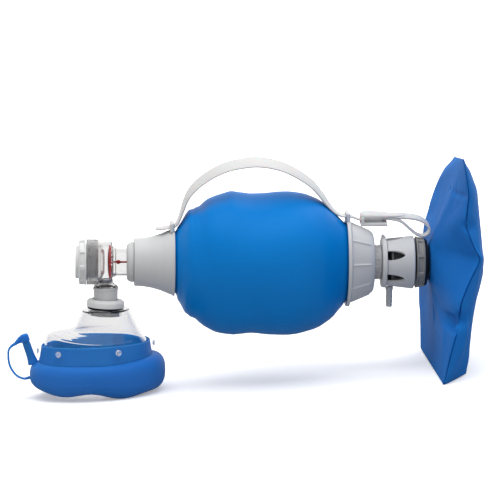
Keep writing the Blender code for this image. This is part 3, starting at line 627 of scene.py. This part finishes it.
def make_inlet_valve():
    flange = turned("grey_inlet_flange", [
        (119.6, 13.4), (119.6, 22.4, 0.6), (121.6, 23.3, 0.6), (123.8, 23.3, 0.5), (123.8, 13.4)])
    cut(flange, rounded_box("ear", (119.8, -4.2, 140.0), (122.6, 4.2, 144.2), 1.0), operation="UNION")
    settle(flange, "inlet_valve", ["inlet_flange"], "grey_plastic")
    housing = turned("grey_inlet_housing", [
        (148.9, 20.0), (148.9, 23.7, 0.5), (148.0, 24.3, 0.8), (136.0, 22.8, 2), (124.2, 21.5, 0.4),
        (124.2, 19.6), (142.0, 21.0), (147.4, 21.0), (147.4, 20.0)], segs=200)
    nipple_place = 4           # the oxygen nipple stands where one of the six windows would be
    for number in range(6):
        if number != nipple_place:
            cut(housing, window_cutter(number, 24 + 60 * number))
    settle(housing, "inlet_valve", ["inlet_housing"], "grey_plastic", sharp=40)
    lathe("grey_oxygen_nipple", "inlet_valve", "oxygen_nipple", "dark_grey_plastic", [
        (96.5, 1.6), (96.5, 3.5, 0.4), (94.0, 3.5, 0.4), (93.4, 3.0, 0.3), (88.2, 2.8, 0.2),
        (87.9, 3.15, 0.2), (84.2, 2.7, 0.2), (83.9, 3.1, 0.2), (80.2, 2.6, 0.2), (79.9, 2.95, 0.2),
        (77.9, 2.5, 0.3), (77.9, 1.6)], where=upright(127.4), segs=64)


def make_reservoir_nut():
    lathe("beige_reservoir_nut", "inlet_valve", "reservoir_nut", "beige_grey_plastic", [
        (158.5, 12.5), (158.5, 21.8, 0.6), (157.6, 22.7, 0.5), (151.2, 23.6, 0.4), (150.7, 22.8, 0.4),
        (150.7, 12.5)], step=0.45, segs=320, sharp=50,
        relief=finger_pockets(19, 1.7, 0, (19.0, 2.0), 154.5, (2.7, 0.7)))
    lathe("black_reservoir_gasket", "inlet_valve", "reservoir_gasket", "black_rubber", [
        (161.0, 12.5), (161.0, 20.6, 0.8), (158.8, 21.9, 0.5), (158.8, 12.5)])


# ---------------------------------------------------------------- reservoir pouch

POUCH_CELLS = 56
POUCH_SIDE = 203.0                             # of each flat sheet
POUCH_HALF = 97.5                              # half the settled pouch's width
GASKET_FACE, GASKET_RADIUS = 162.9, 19         # the front sheet lies flat on the gasket
SEAM_DEPTH = 3.4
NEAR_SEAM = [            # (x, height) of the seam on the viewer's side, top to bottom
    (182.5, 224.5), (184.5, 211), (186.4, 200), (187.6, 191), (187, 185), (186, 172.5), (186.4, 163),
    (189.8, 153), (195.3, 141), (199, 134), (192, 119), (186, 105), (182, 93), (181.6, 79), (179, 69),
    (173.3, 48), (167.4, 21.8)]
FAR_SEAM = [
    (197, 206), (193.5, 201), (188, 195), (183, 186), (179, 177), (175, 166), (172.5, 155), (170, 147),
    (168, 137), (166.5, 118), (165, 96), (164.6, 75), (165.2, 65), (166.3, 55), (167.2, 22.6)]
SEAM_PITS = [(163.0, 9.0, 5.0), (80.0, 11.0, 6.0)]      # height, depth, length of the near seam's crimps
POUCH_FOLDS = [          # sheet side, (x, height) of both ends, half width, depth (negative for a ridge)
    (-1, (175.5, 83.0), (175.0, 67.0), 3.6, 6.0), (-1, (179.5, 187.0), (186.5, 190.5), 1.8, 1.6),
    (-1, (178.0, 215.0), (168.0, 176.0), 2.2, -3.0), (-1, (166.5, 172.0), (163.5, 148.0), 3.6, 5.0),
    (-1, (160.5, 107.0), (164.5, 54.0), 2.6, -3.0), (-1, (171.0, 104.0), (168.0, 60.0), 4.0, 1.4),
    (1, (189.0, 83.0), (183.0, 44.0), 2.6, -2.4), (1, (193.0, 160.0), (198.0, 120.0), 3.0, 1.2)]
BACK_RIDGE = [           # height, x of the back sheet half way between its side seams
    (16.0, 194.0), (37.0, 200.6), (55.5, 202.9), (72.7, 203.6), (89.9, 208.1), (107.0, 212.1),
    (124.1, 213.0), (141.2, 211.5), (161.7, 209.5), (182.2, 206.6), (199.1, 200.3), (216.0, 191.0)]
FOLD_ROW, FOLD_COLUMN = 48, 13       # where the back sheet is folded up from the floor
FOLD_SPOT = (192.6, -55.0, 24.8)


def along_route(route, count):
    """count + 1 points at equal steps along a smooth route."""
    fine = smooth_path(route, 12)
    reach = [0.0]
    for a, b in zip(fine, fine[1:]):
        reach.append(reach[-1] + (b - a).length)
    out = []
    k = 0
    for i in range(count + 1):
        want = reach[-1] * i / count
        while k < len(fine) - 2 and reach[k + 1] < want:
            k += 1
        share = (want - reach[k]) / max(1e-9, reach[k + 1] - reach[k])
        out.append(fine[k].lerp(fine[k + 1], min(1.0, share)))
    return out


def pouch_rest_point(u, v, near, far):
    """Where the pouch's middle surface starts, between its two side seams."""
    t = (u + 1) / 2
    seam = near.lerp(far, t)
    pinch = 1 - 0.03 * (1 - v * v)
    return Vector((seam.x, u * POUCH_HALF * pinch, seam.y))


def lay_front(point, bulge):
    """Draw a point of the front sheet towards the gasket; true where it lies on it."""
    spot = math.hypot(point.y, point.z - AXIS_Z)
    dish = hump(spot, 62)
    point.x -= 7.0 * bulge * (1 - dish)
    point.x += (GASKET_FACE - point.x) * dish * bulge
    if spot < GASKET_RADIUS:
        point.x = GASKET_FACE
    return spot < GASKET_RADIUS


def lay_back(point, u, v, i, j, ridge, corner):
    """Draw a point of the back sheet out to its ridge and its fold; true where it is held there."""
    across = (1 - u * u) ** 0.6
    point.x += (interpolate(ridge, point.z) - point.x) * across * min(1.0, 6 * (1 - v * v))
    reach = min(1.0, j / FOLD_COLUMN)
    fold = corner.lerp(Vector(FOLD_SPOT), reach)
    away = math.hypot(i - POUCH_CELLS - (FOLD_ROW - POUCH_CELLS) * reach, j - FOLD_COLUMN * reach)
    point += (fold - point) * hump(away, 4.5)
    return away < 0.5 or (abs(u) < 0.01 and -0.6 < v < 0.9)


def pouch_sheets(bm):
    """Make two sheets that share their edges; returns the held vertices, the flat shape and the rim."""
    cells = POUCH_CELLS
    near, far = along_route(NEAR_SEAM, cells), along_route(FAR_SEAM, cells)
    corner = pouch_rest_point(-1, -1, near[-1], far[-1])
    ridge = [tuple(spot[:2]) for spot in smooth_path(BACK_RIDGE, 6)]
    grids, held, flat = [], [], []
    for side in (-1, 1):
        grid = []
        for i in range(cells + 1):
            row = []
            v = 1 - 2 * i / cells
            for j in range(cells + 1):
                u = -1 + 2 * j / cells
                edge = i in (0, cells) or j in (0, cells)
                if side == 1 and edge:
                    row.append(grids[0][i][j])
                    continue
                point = pouch_rest_point(u, v, near[i], far[i])
                for height, depth, length in SEAM_PITS:
                    point.y += depth * hump(near[i].y - height, length) * hump(u + 1, 0.12)
                bulge = ((1 - u * u) * (1 - v * v)) ** 0.6
                if side < 0:
                    fixed = lay_front(point, bulge)
                else:
                    fixed = lay_back(point, u, v, i, j, ridge, corner)
                if edge or fixed:
                    held.append(len(flat))
                row.append(bm.verts.new(place(*point)))
                flat.append(Vector((side * 0.4 * bulge, u * POUCH_SIDE / 2, v * POUCH_SIDE / 2)) * MM)
            grid.append(row)
        grids.append(grid)
        for i in range(cells):
            for j in range(cells):
                quad = (grid[i][j], grid[i][j + 1], grid[i + 1][j + 1], grid[i + 1][j])
                bm.faces.new(quad if side < 0 else quad[::-1])
    bm.verts.index_update()
    front = grids[0]
    rim = (front[0] + [row[-1] for row in front[1:]] + front[-1][-2::-1]
           + [row[0] for row in front[-2:0:-1]])
    return held, flat, [vert.index for vert in rim]


def make_pouch():
    bm = bmesh.new()
    held, flat, rim = pouch_sheets(bm)
    crease = bm.edges.layers.float.new("crease_edge")
    for edge in bm.edges:
        if edge.verts[0].index in rim and edge.verts[1].index in rim:
            edge[crease] = 1.0
    pouch = mesh_object("blue_reservoir_pouch", bm)
    simulate_pouch(pouch, held, flat)
    rim_spots = [pouch.data.vertices[i].co.copy() for i in rim]
    mod = pouch.modifiers.new("finer", "SUBSURF")
    mod.levels = 1
    mod.render_levels = 1
    apply_modifiers(pouch)
    fold_sheets(pouch)
    turn_seam_in(pouch, rim_spots)
    settle(pouch, "inlet_valve", ["reservoir_bag"], "blue_film", sharp=80, weighted=False)


def fold_sheets(pouch):
    """Shallow creases and ridges in the half of the pouch on the viewer's side."""
    home = place(0, 0, 0)
    normals = [vertex.normal.copy() for vertex in pouch.data.vertices]
    for vertex, normal in zip(pouch.data.vertices, normals):
        spot = (vertex.co - home) / MM
        if spot.y > -8:
            continue
        here = Vector((spot.x, spot.z))
        for side, a, b, half, depth in POUCH_FOLDS:
            if normal.x * side <= 0:
                continue
            a, b = Vector(a), Vector(b)
            t = min(1.0, max(0.0, (here - a).dot(b - a) / (b - a).length_squared))
            fade = 1 - abs(2 * t - 1) ** 3
            vertex.co -= normal * depth * fade * hump((here - a.lerp(b, t)).length, half) * MM


def seam_verts(bm):
    crease = bm.edges.layers.float.get("crease_edge")
    return {vert for edge in bm.edges if edge[crease] > 0.5 for vert in edge.verts}


def turn_seam_in(pouch, rim_spots):
    """The weld lies inside, so the two sheets meet in a narrow groove."""
    bm = bmesh.new()
    bm.from_mesh(pouch.data)
    count = len(rim_spots)
    pairs = [(a, b) for a, b in zip(rim_spots, rim_spots[1:] + rim_spots[:1])]
    tree = KDTree(2 * count)
    for k, (a, b) in enumerate(pairs):
        tree.insert(a, 2 * k)
        tree.insert((a + b) / 2, 2 * k + 1)
    tree.balance()
    rim = seam_verts(bm)
    spokes = [edge for edge in bm.edges if (edge.verts[0] in rim) != (edge.verts[1] in rim)]
    bmesh.ops.subdivide_edges(bm, edges=spokes, cuts=1)
    middle = sum(rim_spots, Vector()) / count
    for vert in seam_verts(bm):
        k = tree.find(vert.co)[1] // 2
        ahead = (pairs[k][1] - pairs[k][0]).normalized()
        inward = middle - vert.co
        inward -= ahead * inward.dot(ahead)
        vert.co += inward.normalized() * SEAM_DEPTH * MM
    bm.to_mesh(pouch.data)
    bm.free()


CLOTH = {                # the pressure below nought draws the air out
    "quality": 8, "mass": 0.15, "air_damping": 2.0, "tension_stiffness": 20, "compression_stiffness": 20,
    "shear_stiffness": 10, "bending_stiffness": 1.2, "tension_damping": 10, "compression_damping": 10,
    "shear_damping": 10, "bending_damping": 1, "vertex_group_mass": "held", "pin_stiffness": 5,
    "use_pressure": True, "uniform_pressure_force": -1.5}


def simulate_pouch(pouch, held, flat):
    """Let two flat sheets, welded at their edges, settle as the last air is drawn from between them."""
    group = pouch.vertex_groups.new(name="held")
    group.add(held, 1.0, "REPLACE")
    pouch.shape_key_add(name="Basis")
    key = pouch.shape_key_add(name="flat")
    for point, target in zip(key.data, flat):
        point.co = target
    cloth = pouch.modifiers.new("cloth", "CLOTH")
    for name, value in CLOTH.items():
        setattr(cloth.settings, name, value)
    cloth.settings.rest_shape_key = key
    cloth.settings.effector_weights.gravity = 0
    cloth.collision_settings.use_collision = False
    last = 30
    cloth.point_cache.frame_start = 1
    cloth.point_cache.frame_end = last
    scene = bpy.context.scene
    for number in range(1, last + 1):
        scene.frame_set(number)
    evaluated = pouch.evaluated_get(bpy.context.evaluated_depsgraph_get())
    settled = [vertex.co.copy() for vertex in evaluated.data.vertices]
    pouch.modifiers.clear()
    pouch.shape_key_clear()
    for vertex, point in zip(pouch.data.vertices, settled):
        vertex.co = point
    scene.frame_set(1)


# ---------------------------------------------------------------- face mask

def egg(angle, centre, a, b):
    """A point of a mask outline in plan, narrower at the nose end (-X)."""
    return centre + a * math.cos(angle), b * math.sin(angle) * (1 + EGG * math.cos(angle))


def skirt_top(x, angle):
    return 45.6 + 0.055 * (x - MASK_X) + 0.8 * abs(math.sin(angle))


def skirt_bottom(x, angle):
    return 31.0 + 0.055 * (x - MASK_X) + 3.4 * max(0.0, math.cos(angle)) ** 2


def cuff_bottom(x):
    """Two soft lobes under each side with an arch between them."""
    return 1.4 + 2.0 * math.cos(2 * math.pi * (x + 143.0) / 50.0)


def make_mask_connector():
    where = upright(PATIENT_X, -MASK_TILT, pivot=COLLAR_TOP, start=COLLAR_TOP)
    # The collar is given a lighter copy of the grey plastic: painted light.
    lathe("grey_mask_collar", "mask", "mask_collar", "grey_plastic", [
        (85.0, 11.7, 0.3), (85.0, 14.6, 1.6), (83.4, 17.15, 1.5), (78.0, 17.15, 0.7), (78.0, 12.9),
        (70.0, 12.9, 0.3), (70.0, 11.7)], where=where, share=0.48, look="grey_plastic_painted_light")
    lathe("black_collar_gasket", "mask", "collar_gasket", "black_rubber", [
        (77.7, 13.3), (77.7, 16.4, 0.4), (76.2, 16.2, 0.4), (76.2, 13.3)], where=where)
    lathe("clear_collar_nut", "mask", "collar_nut", "clear_plastic", [
        (73.7, 13.3), (73.7, 15.4, 0.5), (70.4, 15.4, 0.7), (70.4, 13.3)], where=where)


DOME_LEVELS = [          # centre, half length, half width, heights at the nose end, chin end and sides
    (-130.6, 13.4, 13.4, 75.8, 75.8, 75.8), (-131.0, 20.8, 20.8, 75.8, 75.8, 75.8),
    (-131.0, 21.7, 21.7, 74.9, 74.9, 74.9), (-130.5, 29.8, 28.0, 56.8, 58.7, 57.5),
    (-138.7, 41.3, 34.0, 54.8, 53.0, 51.0), (-139.9, 44.6, 36.6, 52.3, 50.4, 48.5),
    (-140.0, 46.9, 37.1, 46.0, 47.5, 45.0), (-140.0, 46.9, 37.1, 32.6, 34.0, 32.0)]


def blended_levels(share=0.3, steps=7):
    """The dome's levels with the corners between them rounded."""
    levels = [Vector(row) for row in DOME_LEVELS]
    out = [levels[0]]
    for before, here, after in zip(levels, levels[1:], levels[2:]):
        out += bend(here + (before - here) * share, here, here + (after - here) * share, steps)
    return out + levels[-1:]


def make_mask_dome():
    """Round at its neck and egg-shaped below it."""
    neck = 21.7
    rings = []
    for centre, a, b, z_nose, z_chin, z_side in blended_levels():
        ovalness = min(1.0, max(0.0, (a - neck) / 8.0))
        ring = []
        for _, c, s in circle(208):
            x = centre + a * c
            y = b * s * (1 + EGG * c * ovalness)
            z = z_nose * max(0.0, -c) ** 2 + z_chin * max(0.0, c) ** 2 + z_side * s * s
            z += (x - PATIENT_X) * math.tan(MASK_TILT) * (1 - ovalness)
            ring.append(place(x, y, z))
        rings.append(ring)
    dome = loft("clear_mask_dome", rings, capped=False)
    mod = dome.modifiers.new("wall", "SOLIDIFY")
    mod.thickness = 1.5 * MM
    mod.offset = -1
    apply_modifiers(dome)
    settle(dome, "mask", ["mask_dome"], "clear_plastic", sharp=50, weighted=False)


def make_mask_skirt():
    wall, tall = 1.6, 17.6
    profile = soften([(0, tall, 0.8), (0, 0), (wall, 0), (wall, tall, 0.8)], share=0.49, steps=4)
    profile = dense(profile, 1.5)
    rings = []
    for angle, _, _ in circle(160):
        top_x, top_y = egg(angle, MASK_X, SKIRT_A, SKIRT_B)
        low_x, low_y = egg(angle, MASK_X - 0.3, SKIRT_A + 2.6, SKIRT_B + 2.4)
        high, low = skirt_top(top_x, angle), skirt_bottom(low_x, angle) - 3.0
        ring = []
        for inset, z in profile:
            t = 1 - z / tall
            t = t * t * (2 - t)
            spot = Vector((top_x + (low_x - top_x) * t, top_y + (low_y - top_y) * t))
            middle = Vector((MASK_X, 0))
            spot -= (spot - middle).normalized() * inset
            ring.append(place(spot.x, spot.y, low + (high - low) * z / tall))
        rings.append(ring)
    skirt = loft("blue_mask_skirt", rings, closed_along=True)
    settle(skirt, "mask", ["mask_skirt"], "blue_vinyl", sharp=50, weighted=False)


def make_mask_cuff():
    mould_line = math.radians(345)
    rings = []
    for angle, _, _ in circle(176):
        out_x, out_y = egg(angle, CUFF_X, CUFF_A, CUFF_B)
        mid_x, mid_y = egg(angle, CUFF_X, CUFF_A - CUFF_TUBE, CUFF_B - CUFF_TUBE)
        high, low = skirt_bottom(mid_x, angle) - 0.6, cuff_bottom(mid_x)
        ring = []
        for turn, c, s in circle(88):
            power = 0.7 if s > 0 else 0.85
            reach = squarer(c, power) * (1 + 0.016 * hump(turn - mould_line, 0.035))
            lift = squarer(s, power)
            ring.append(place(mid_x + (out_x - mid_x) * reach, mid_y + (out_y - mid_y) * reach,
                              (high + low) / 2 + (high - low) / 2 * lift))
        rings.append(ring)
    cuff = loft("blue_mask_cuff", rings, closed_along=True)
    settle(cuff, "mask", ["mask_cuff"], "blue_vinyl", sharp=80, weighted=False)


def make_pegs():
    for number, degrees in enumerate((180, 130, 67, 0, -67, -130), start=1):
        angle = math.radians(degrees)
        x, y = egg(angle, MASK_X, SKIRT_A + 1.2, SKIRT_B + 1.1)
        ahead = egg(angle + 0.01, MASK_X, SKIRT_A + 1.2, SKIRT_B + 1.1)
        along = Vector((ahead[0] - x, ahead[1] - y, 0)).normalized()
        outward = Vector((along.y, -along.x, 0))
        z = (skirt_top(x, angle) + skirt_bottom(x, angle)) / 2 + 2.0
        # The pegs are given a whiter copy of the clear plastic: painted highlight on their rims.
        lathe(f"clear_mask_peg_{number}", "mask", f"mask_peg_{number}", "clear_plastic", [
            (0.7, 0), (0.7, 1.6, 0.2), (1.5, 1.7, 0.3), (1.6, 2.9, 0.5), (2.8, 2.7, 0.7), (3.0, 1.5, 0.4),
            (1.9, 0.9, 0.3), (1.8, 0)], where=outwards(place(x, y, z), outward), segs=48, closed=False,
            look="clear_plastic_painted_highlight")


def make_inflation():
    """The tube that leans out from the cuff, and its plug with the wedge where the tether starts."""
    where = upright(-196.9, math.radians(19), pivot=26.6)
    lathe("blue_inflation_tube", "mask", "inflation_tube", "blue_vinyl", [
        (20.0, 2.6, 0.2), (20.0, 3.5, 0.4), (17.0, 3.65, 0.8), (6.0, 3.8, 3.0), (-1.0, 5.0), (-1.0, 1.0),
        (6.0, 2.6)], where=where, segs=64)
    plug = turned("blue_inflation_plug", [
        (27.6, 0), (27.6, 3.3, 1.2), (26.0, 4.2, 1.0), (20.4, 4.1, 0.5), (20.4, 2.3), (10.0, 2.1, 0.4),
        (9.0, 0)], where=where, segs=64, closed=False)
    wedge = []
    for x, z, high, half in ((-204.5, 48.6, 3.6, 2.2), (-207.6, 48.0, 3.0, 2.0), (-210.4, 46.4, 2.2, 1.8),
                             (-212.8, 44.4, 1.4, 1.6), (-213.6, 43.6, 0.9, 1.3)):
        wedge.append([place(x - 0.5 * high * s, half * c, z + high * s) for _, c, s in circle(24)])
    cut(plug, loft("wedge", wedge), operation="UNION")
    settle(plug, "plug", ["inflation_plug"], "blue_vinyl", sharp=50)
    make_tether()


TETHER_ROUTE = [
    (-211.8, 44.6), (-216.4, 41.8), (-219.0, 38.2), (-219.4, 33.5), (-219.1, 28.2), (-217.6, 22.8),
    (-214.8, 17.9), (-211.2, 14.2), (-207.6, 12.4), (-204.4, 11.8), (-198.6, 13.2)]


def make_tether():
    path = smooth_path([(x, 0, z) for x, z in TETHER_ROUTE], 8)
    sections = []
    for i in range(len(path)):
        ahead = heading(path, i)
        across = Vector((0, 1, 0))
        ends = 1 + 0.5 * hump(i, 8) + 0.5 * hump(i - len(path) + 1, 6)
        sections.append((across, across.cross(ahead), 1.5 * ends, 0.95 * ends))
    tether = swept("blue_plug_tether", [place(*p) for p in path], sections)
    obj = settle(tether, "mask", ["plug_tether"], "blue_vinyl", weighted=False)
    obj.parent = None
    del obj["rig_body"]
    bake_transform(obj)


# ---------------------------------------------------------------- handle strap and its clip

STRAP_ROUTE = [
    (-86.0, 149.4), (-78.0, 150.3), (-71.2, 151.2), (-68.0, 152.8), (-65.4, 156.6), (-63.2, 163.0),
    (-60.8, 171.0), (-57.4, 180.0), (-52.5, 187.5), (-45.5, 194.4), (-33.0, 203.0), (-18.0, 209.2),
    (0.0, 212.2), (10.0, 212.0), (20.0, 210.3), (30.0, 207.2), (40.0, 202.2), (48.5, 196.8),
    (55.5, 191.2), (61.0, 185.0), (66.3, 178.2), (71.5, 171.4), (76.5, 165.9), (81.5, 162.6),
    (87.0, 161.5), (92.0, 161.0), (98.0, 158.7), (103.8, 158.1)]


def make_strap():
    path = smooth_path([(x, 0, z) for x, z in STRAP_ROUTE], 6)
    middles, sections = [], []
    for i, spot in enumerate(path):
        ahead = heading(path, i)
        held_height = 152.0 + (spot.x + 68.0) * 0.061          # of the line between its two slots
        rise = max(0.0, spot.z - held_height)
        lean = STRAP_LEAN * min(1.0, rise / 18.0)
        across = Vector((0, math.cos(lean), math.sin(lean)))
        half = 10.0
        if spot.x > 90:                                        # narrows into the clip
            half -= min(3.9, (spot.x - 90) * 0.6)
        if spot.x < -80:                                       # a round end in front
            half = 1.2 + 8.8 * math.sqrt(max(0.0, 1 - ((-80 - spot.x) / 6.2) ** 2))
        middles.append(place(spot.x, -rise * math.tan(STRAP_LEAN), spot.z))
        sections.append((across, across.cross(ahead).normalized(), half, 0.75))
    strap = swept("white_strap_handle", middles, sections)
    settle(strap, "bag", ["strap_handle"], "white_plastic", sharp=60, weighted=False)


LOOP_ROUTE = [           # x, height, lean in degrees
    (112, 162.0, 24), (122, 162.0, 25), (132, 161.6, 26), (141, 161.2, 26), (149, 160.4, 26),
    (155.5, 158.4, 24), (160.6, 154.8, 19), (163.4, 150.2, 12), (162.8, 146.6, 8), (159.6, 144.0, 6),
    (155.5, 143.6, 6), (151.2, 145.2, 5), (146.0, 149.2, 5), (141.6, 153.2, 4), (136.6, 156.8, 3),
    (129, 158.6, 2), (120, 159.4, 0)]
LEAF_SECTIONS = [        # x, lowest and highest height, half width
    (100.0, 161.6, 163.2, 2.6), (100.8, 160.6, 164.1, 4.8), (103.0, 160.1, 164.7, 6.4),
    (108.0, 159.9, 165.0, 7.0), (115.0, 160.1, 164.7, 6.8), (122.0, 160.6, 164.1, 6.0),
    (129.0, 161.0, 163.6, 4.8), (136.0, 161.4, 163.1, 3.4), (140.5, 161.7, 162.8, 1.8)]


def make_clip():
    path = smooth_path(LOOP_ROUTE, 5)
    middles, sections = [], []
    for i, spot in enumerate(path):
        ahead = heading(path, i)
        ahead = Vector((ahead.x, 0, ahead.y)).normalized()
        lean = math.radians(spot.z)
        across = Vector((0, math.cos(lean), math.sin(lean)))
        across = (across - ahead * across.dot(ahead)).normalized()
        middles.append(place(spot.x, 0, spot.y))
        sections.append((across, across.cross(ahead).normalized(), 4.6, 1.1))
    loop = swept("white_hanging_loop", middles, sections)
    rings = []
    for x, low, high, half in smooth_path(LEAF_SECTIONS, 5):
        ring = []
        for _, c, s in circle(28):
            y = half * squarer(c, 0.8)
            z = (low + high) / 2 + (high - low) / 2 * squarer(s, 0.7) + CLIP_LEAN * y
            ring.append(place(x, y, z))
        rings.append(ring)
    leaf = loft("white_clip_leaf", rings)
    settle(leaf, "clip_lever", ["strap_clip"], "white_plastic", sharp=60)
    settle(loop, "clip_lever", [], "white_plastic", sharp=60, weighted=False)


def make_clip_base():
    base = rounded_box("white_clip_base", (100.0, -8.6, 154.4), (124.5, 8.6, 157.0), 0.7)
    for low, high in ((-8.6, -7.3), (7.3, 8.6)):
        cut(base, rounded_box("ear", (100.4, low, 154.6), (103.4, high, 162.1), 0.6), operation="UNION")

    def where(y, radius, angle):
        return place(102.0 + radius * math.cos(angle), y, 161.2 + radius * math.sin(angle))
    pin = turned("grey_clip_pin", [(-8.3, 0), (-8.3, 0.9), (8.3, 0.9), (8.3, 0)], where, segs=32,
                 closed=False)
    for obj, node, slot in ((base, "clip_base", "white_plastic"), (pin, "clip_pin", "grey_plastic")):
        for vert in obj.data.vertices:
            vert.co.z += CLIP_LEAN * vert.co.y
        settle(obj, "bag", [node], slot, sharp=40)


# ---------------------------------------------------------------- inner pieces that keep their CAD shape

KEPT = {
    "shutter_seat": "clear_plastic", "exhalation_disc": "grey_silicone",
    "swivel_oring": "black_rubber", "front_neck_insert": "grey_plastic", "inner_bag": "grey_silicone",
    "bag_inlet_disc": "grey_silicone", "valve_plate": "grey_silicone",
    "intake_membrane": "black_rubber", "relief_membrane": "grey_silicone"}


def finish_kept_nodes():
    for name, slot in KEPT.items():
        mesh = frame["nodes"][name].data
        mesh.materials.clear()
        mesh.materials.append(MATERIALS[slot])


# ---------------------------------------------------------------- camera, floor and light

def make_camera():
    azimuth, elevation, roll = math.radians(-3.0), math.radians(7.7), math.radians(0.42)
    aim, distance = place(0, 0, 130), 2.909
    back = Vector((math.sin(azimuth) * math.cos(elevation), -math.cos(azimuth) * math.cos(elevation),
                   math.sin(elevation)))
    level = Vector((math.cos(azimuth), math.sin(azimuth), 0))
    up = back.cross(level)
    right = level * math.cos(roll) + up * math.sin(roll)
    up = up * math.cos(roll) - level * math.sin(roll)
    camera = bpy.data.objects.new("camera", bpy.data.cameras.new("camera"))
    camera.data.lens = 230.4
    camera.data.sensor_width = 36
    camera.data.clip_end = 60
    camera.location = aim + back * distance
    camera.rotation_euler = Matrix((right, up, back)).transposed().to_euler()
    bpy.context.scene.collection.objects.link(camera)
    bpy.context.scene.camera = camera


def make_floor():
    """A white floor, a hair below the mask's cuff and the pouch's bottom edge."""
    left = Vector((place(-118, 0, 0).x, 0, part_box("mask_cuff")[0].z - 0.0002))
    right = Vector((place(168, 0, 0).x, 0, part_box("reservoir_bag")[0].z - 0.0004))
    slope = math.atan2(right.z - left.z, right.x - left.x)
    bm = bmesh.new()
    bmesh.ops.create_grid(bm, x_segments=1, y_segments=1, size=14)
    floor = mesh_object("floor", bm)
    floor.rotation_euler = (0, -slope, 0)
    floor.location = left
    mat, nodes, links, shader = node_material("floor_white")
    ray = nodes.new("ShaderNodeLightPath")
    seen, bounced = ray.outputs["Is Camera Ray"], ray.outputs["Diffuse Depth"]
    spot = nodes.new("ShaderNodeTexCoord")
    axes = nodes.new("ShaderNodeSeparateXYZ")
    links.new(spot.outputs["Object"], axes.inputs["Vector"])
    near = ranged(nodes, links, axes.outputs["Y"], 0.05, 0.3, 0.2, 1.05)
    far = ranged(nodes, links, axes.outputs["Y"], 0.3, 1.3, 0.3, 1.0)
    shade = mixed(nodes, links, bounced, mixed(nodes, links, seen, 0.0, 0.95), 0.50)
    links.new(shade, shader.inputs["Base Color"])
    glow = mixed(nodes, links, bounced, mixed(nodes, links, seen, near, far), 0.0)
    links.new(glow, shader.inputs["Emission Strength"])
    set_inputs(shader, Emission_Color=(1, 1, 1, 1), Roughness=0.9, Specular_IOR_Level=0.1)
    floor.data.materials.append(mat)


def area_light(name, spot, aim, size, energy):
    light = bpy.data.lights.new(name, "AREA")
    light.shape = "RECTANGLE"
    light.size, light.size_y = size
    light.energy = energy
    obj = bpy.data.objects.new(name, light)
    obj.location = spot
    obj.rotation_euler = (Vector(aim) - Vector(spot)).to_track_quat("-Z", "Y").to_euler()
    obj.visible_glossy = False
    obj.visible_transmission = False
    bpy.context.scene.collection.objects.link(obj)


def make_light():
    """A pale studio: brighter above and behind than on the viewer's side, with a soft box overhead."""
    world = bpy.data.worlds.new("studio")
    bpy.context.scene.world = world
    world.use_nodes = True
    nodes, links = world.node_tree.nodes, world.node_tree.links
    spot = nodes.new("ShaderNodeTexCoord")
    axes = nodes.new("ShaderNodeSeparateXYZ")
    links.new(spot.outputs["Generated"], axes.inputs["Vector"])
    ray = nodes.new("ShaderNodeLightPath")
    sides = ranged(nodes, links, axes.outputs["X"], -0.6, 0.8, 0.56, 0.76)
    shade = mixed(nodes, links, ray.outputs["Transmission Depth"], sides, 1.6)
    high = ranged(nodes, links, axes.outputs["Z"], 0.45, 0.95, 0.0, 1.0)
    mirror = mixed(nodes, links, high, ranged(nodes, links, axes.outputs["Y"], 0.1, 0.9, 0.06, 1.03), 0.6)
    direct = mixed(nodes, links, ray.outputs["Is Camera Ray"], mirror, 1.0)
    links.new(mixed(nodes, links, ray.outputs["Diffuse Depth"], direct, shade),
              nodes["Background"].inputs["Strength"])
    nodes["Background"].inputs["Color"].default_value = (1, 1, 1, 1)
    area_light("softbox_top", (-0.25, -0.32, 1.35), (0, 0, 0.1), (1.4, 0.9), 10.8)
    area_light("softbox_behind", (0.55, 0.6, 1.2), (0.1, 0, 0.1), (0.8, 0.8), 6)
    bpy.context.scene.view_settings.view_transform = "Standard"


make_camera()
make_exhalation_port()
make_thread_ring()
make_valve_housing()
make_exhalation_seat()
make_shutter()
make_patient_connector()
make_front_collar()
make_outer_bag()
make_rear_collar()
make_inlet_neck()
make_inlet_valve()
make_reservoir_nut()
make_mask_connector()
make_mask_dome()
make_mask_skirt()
make_mask_cuff()
make_pegs()
make_inflation()
make_strap()
make_clip()
make_clip_base()
make_pouch()
finish_kept_nodes()
make_floor()
make_light()
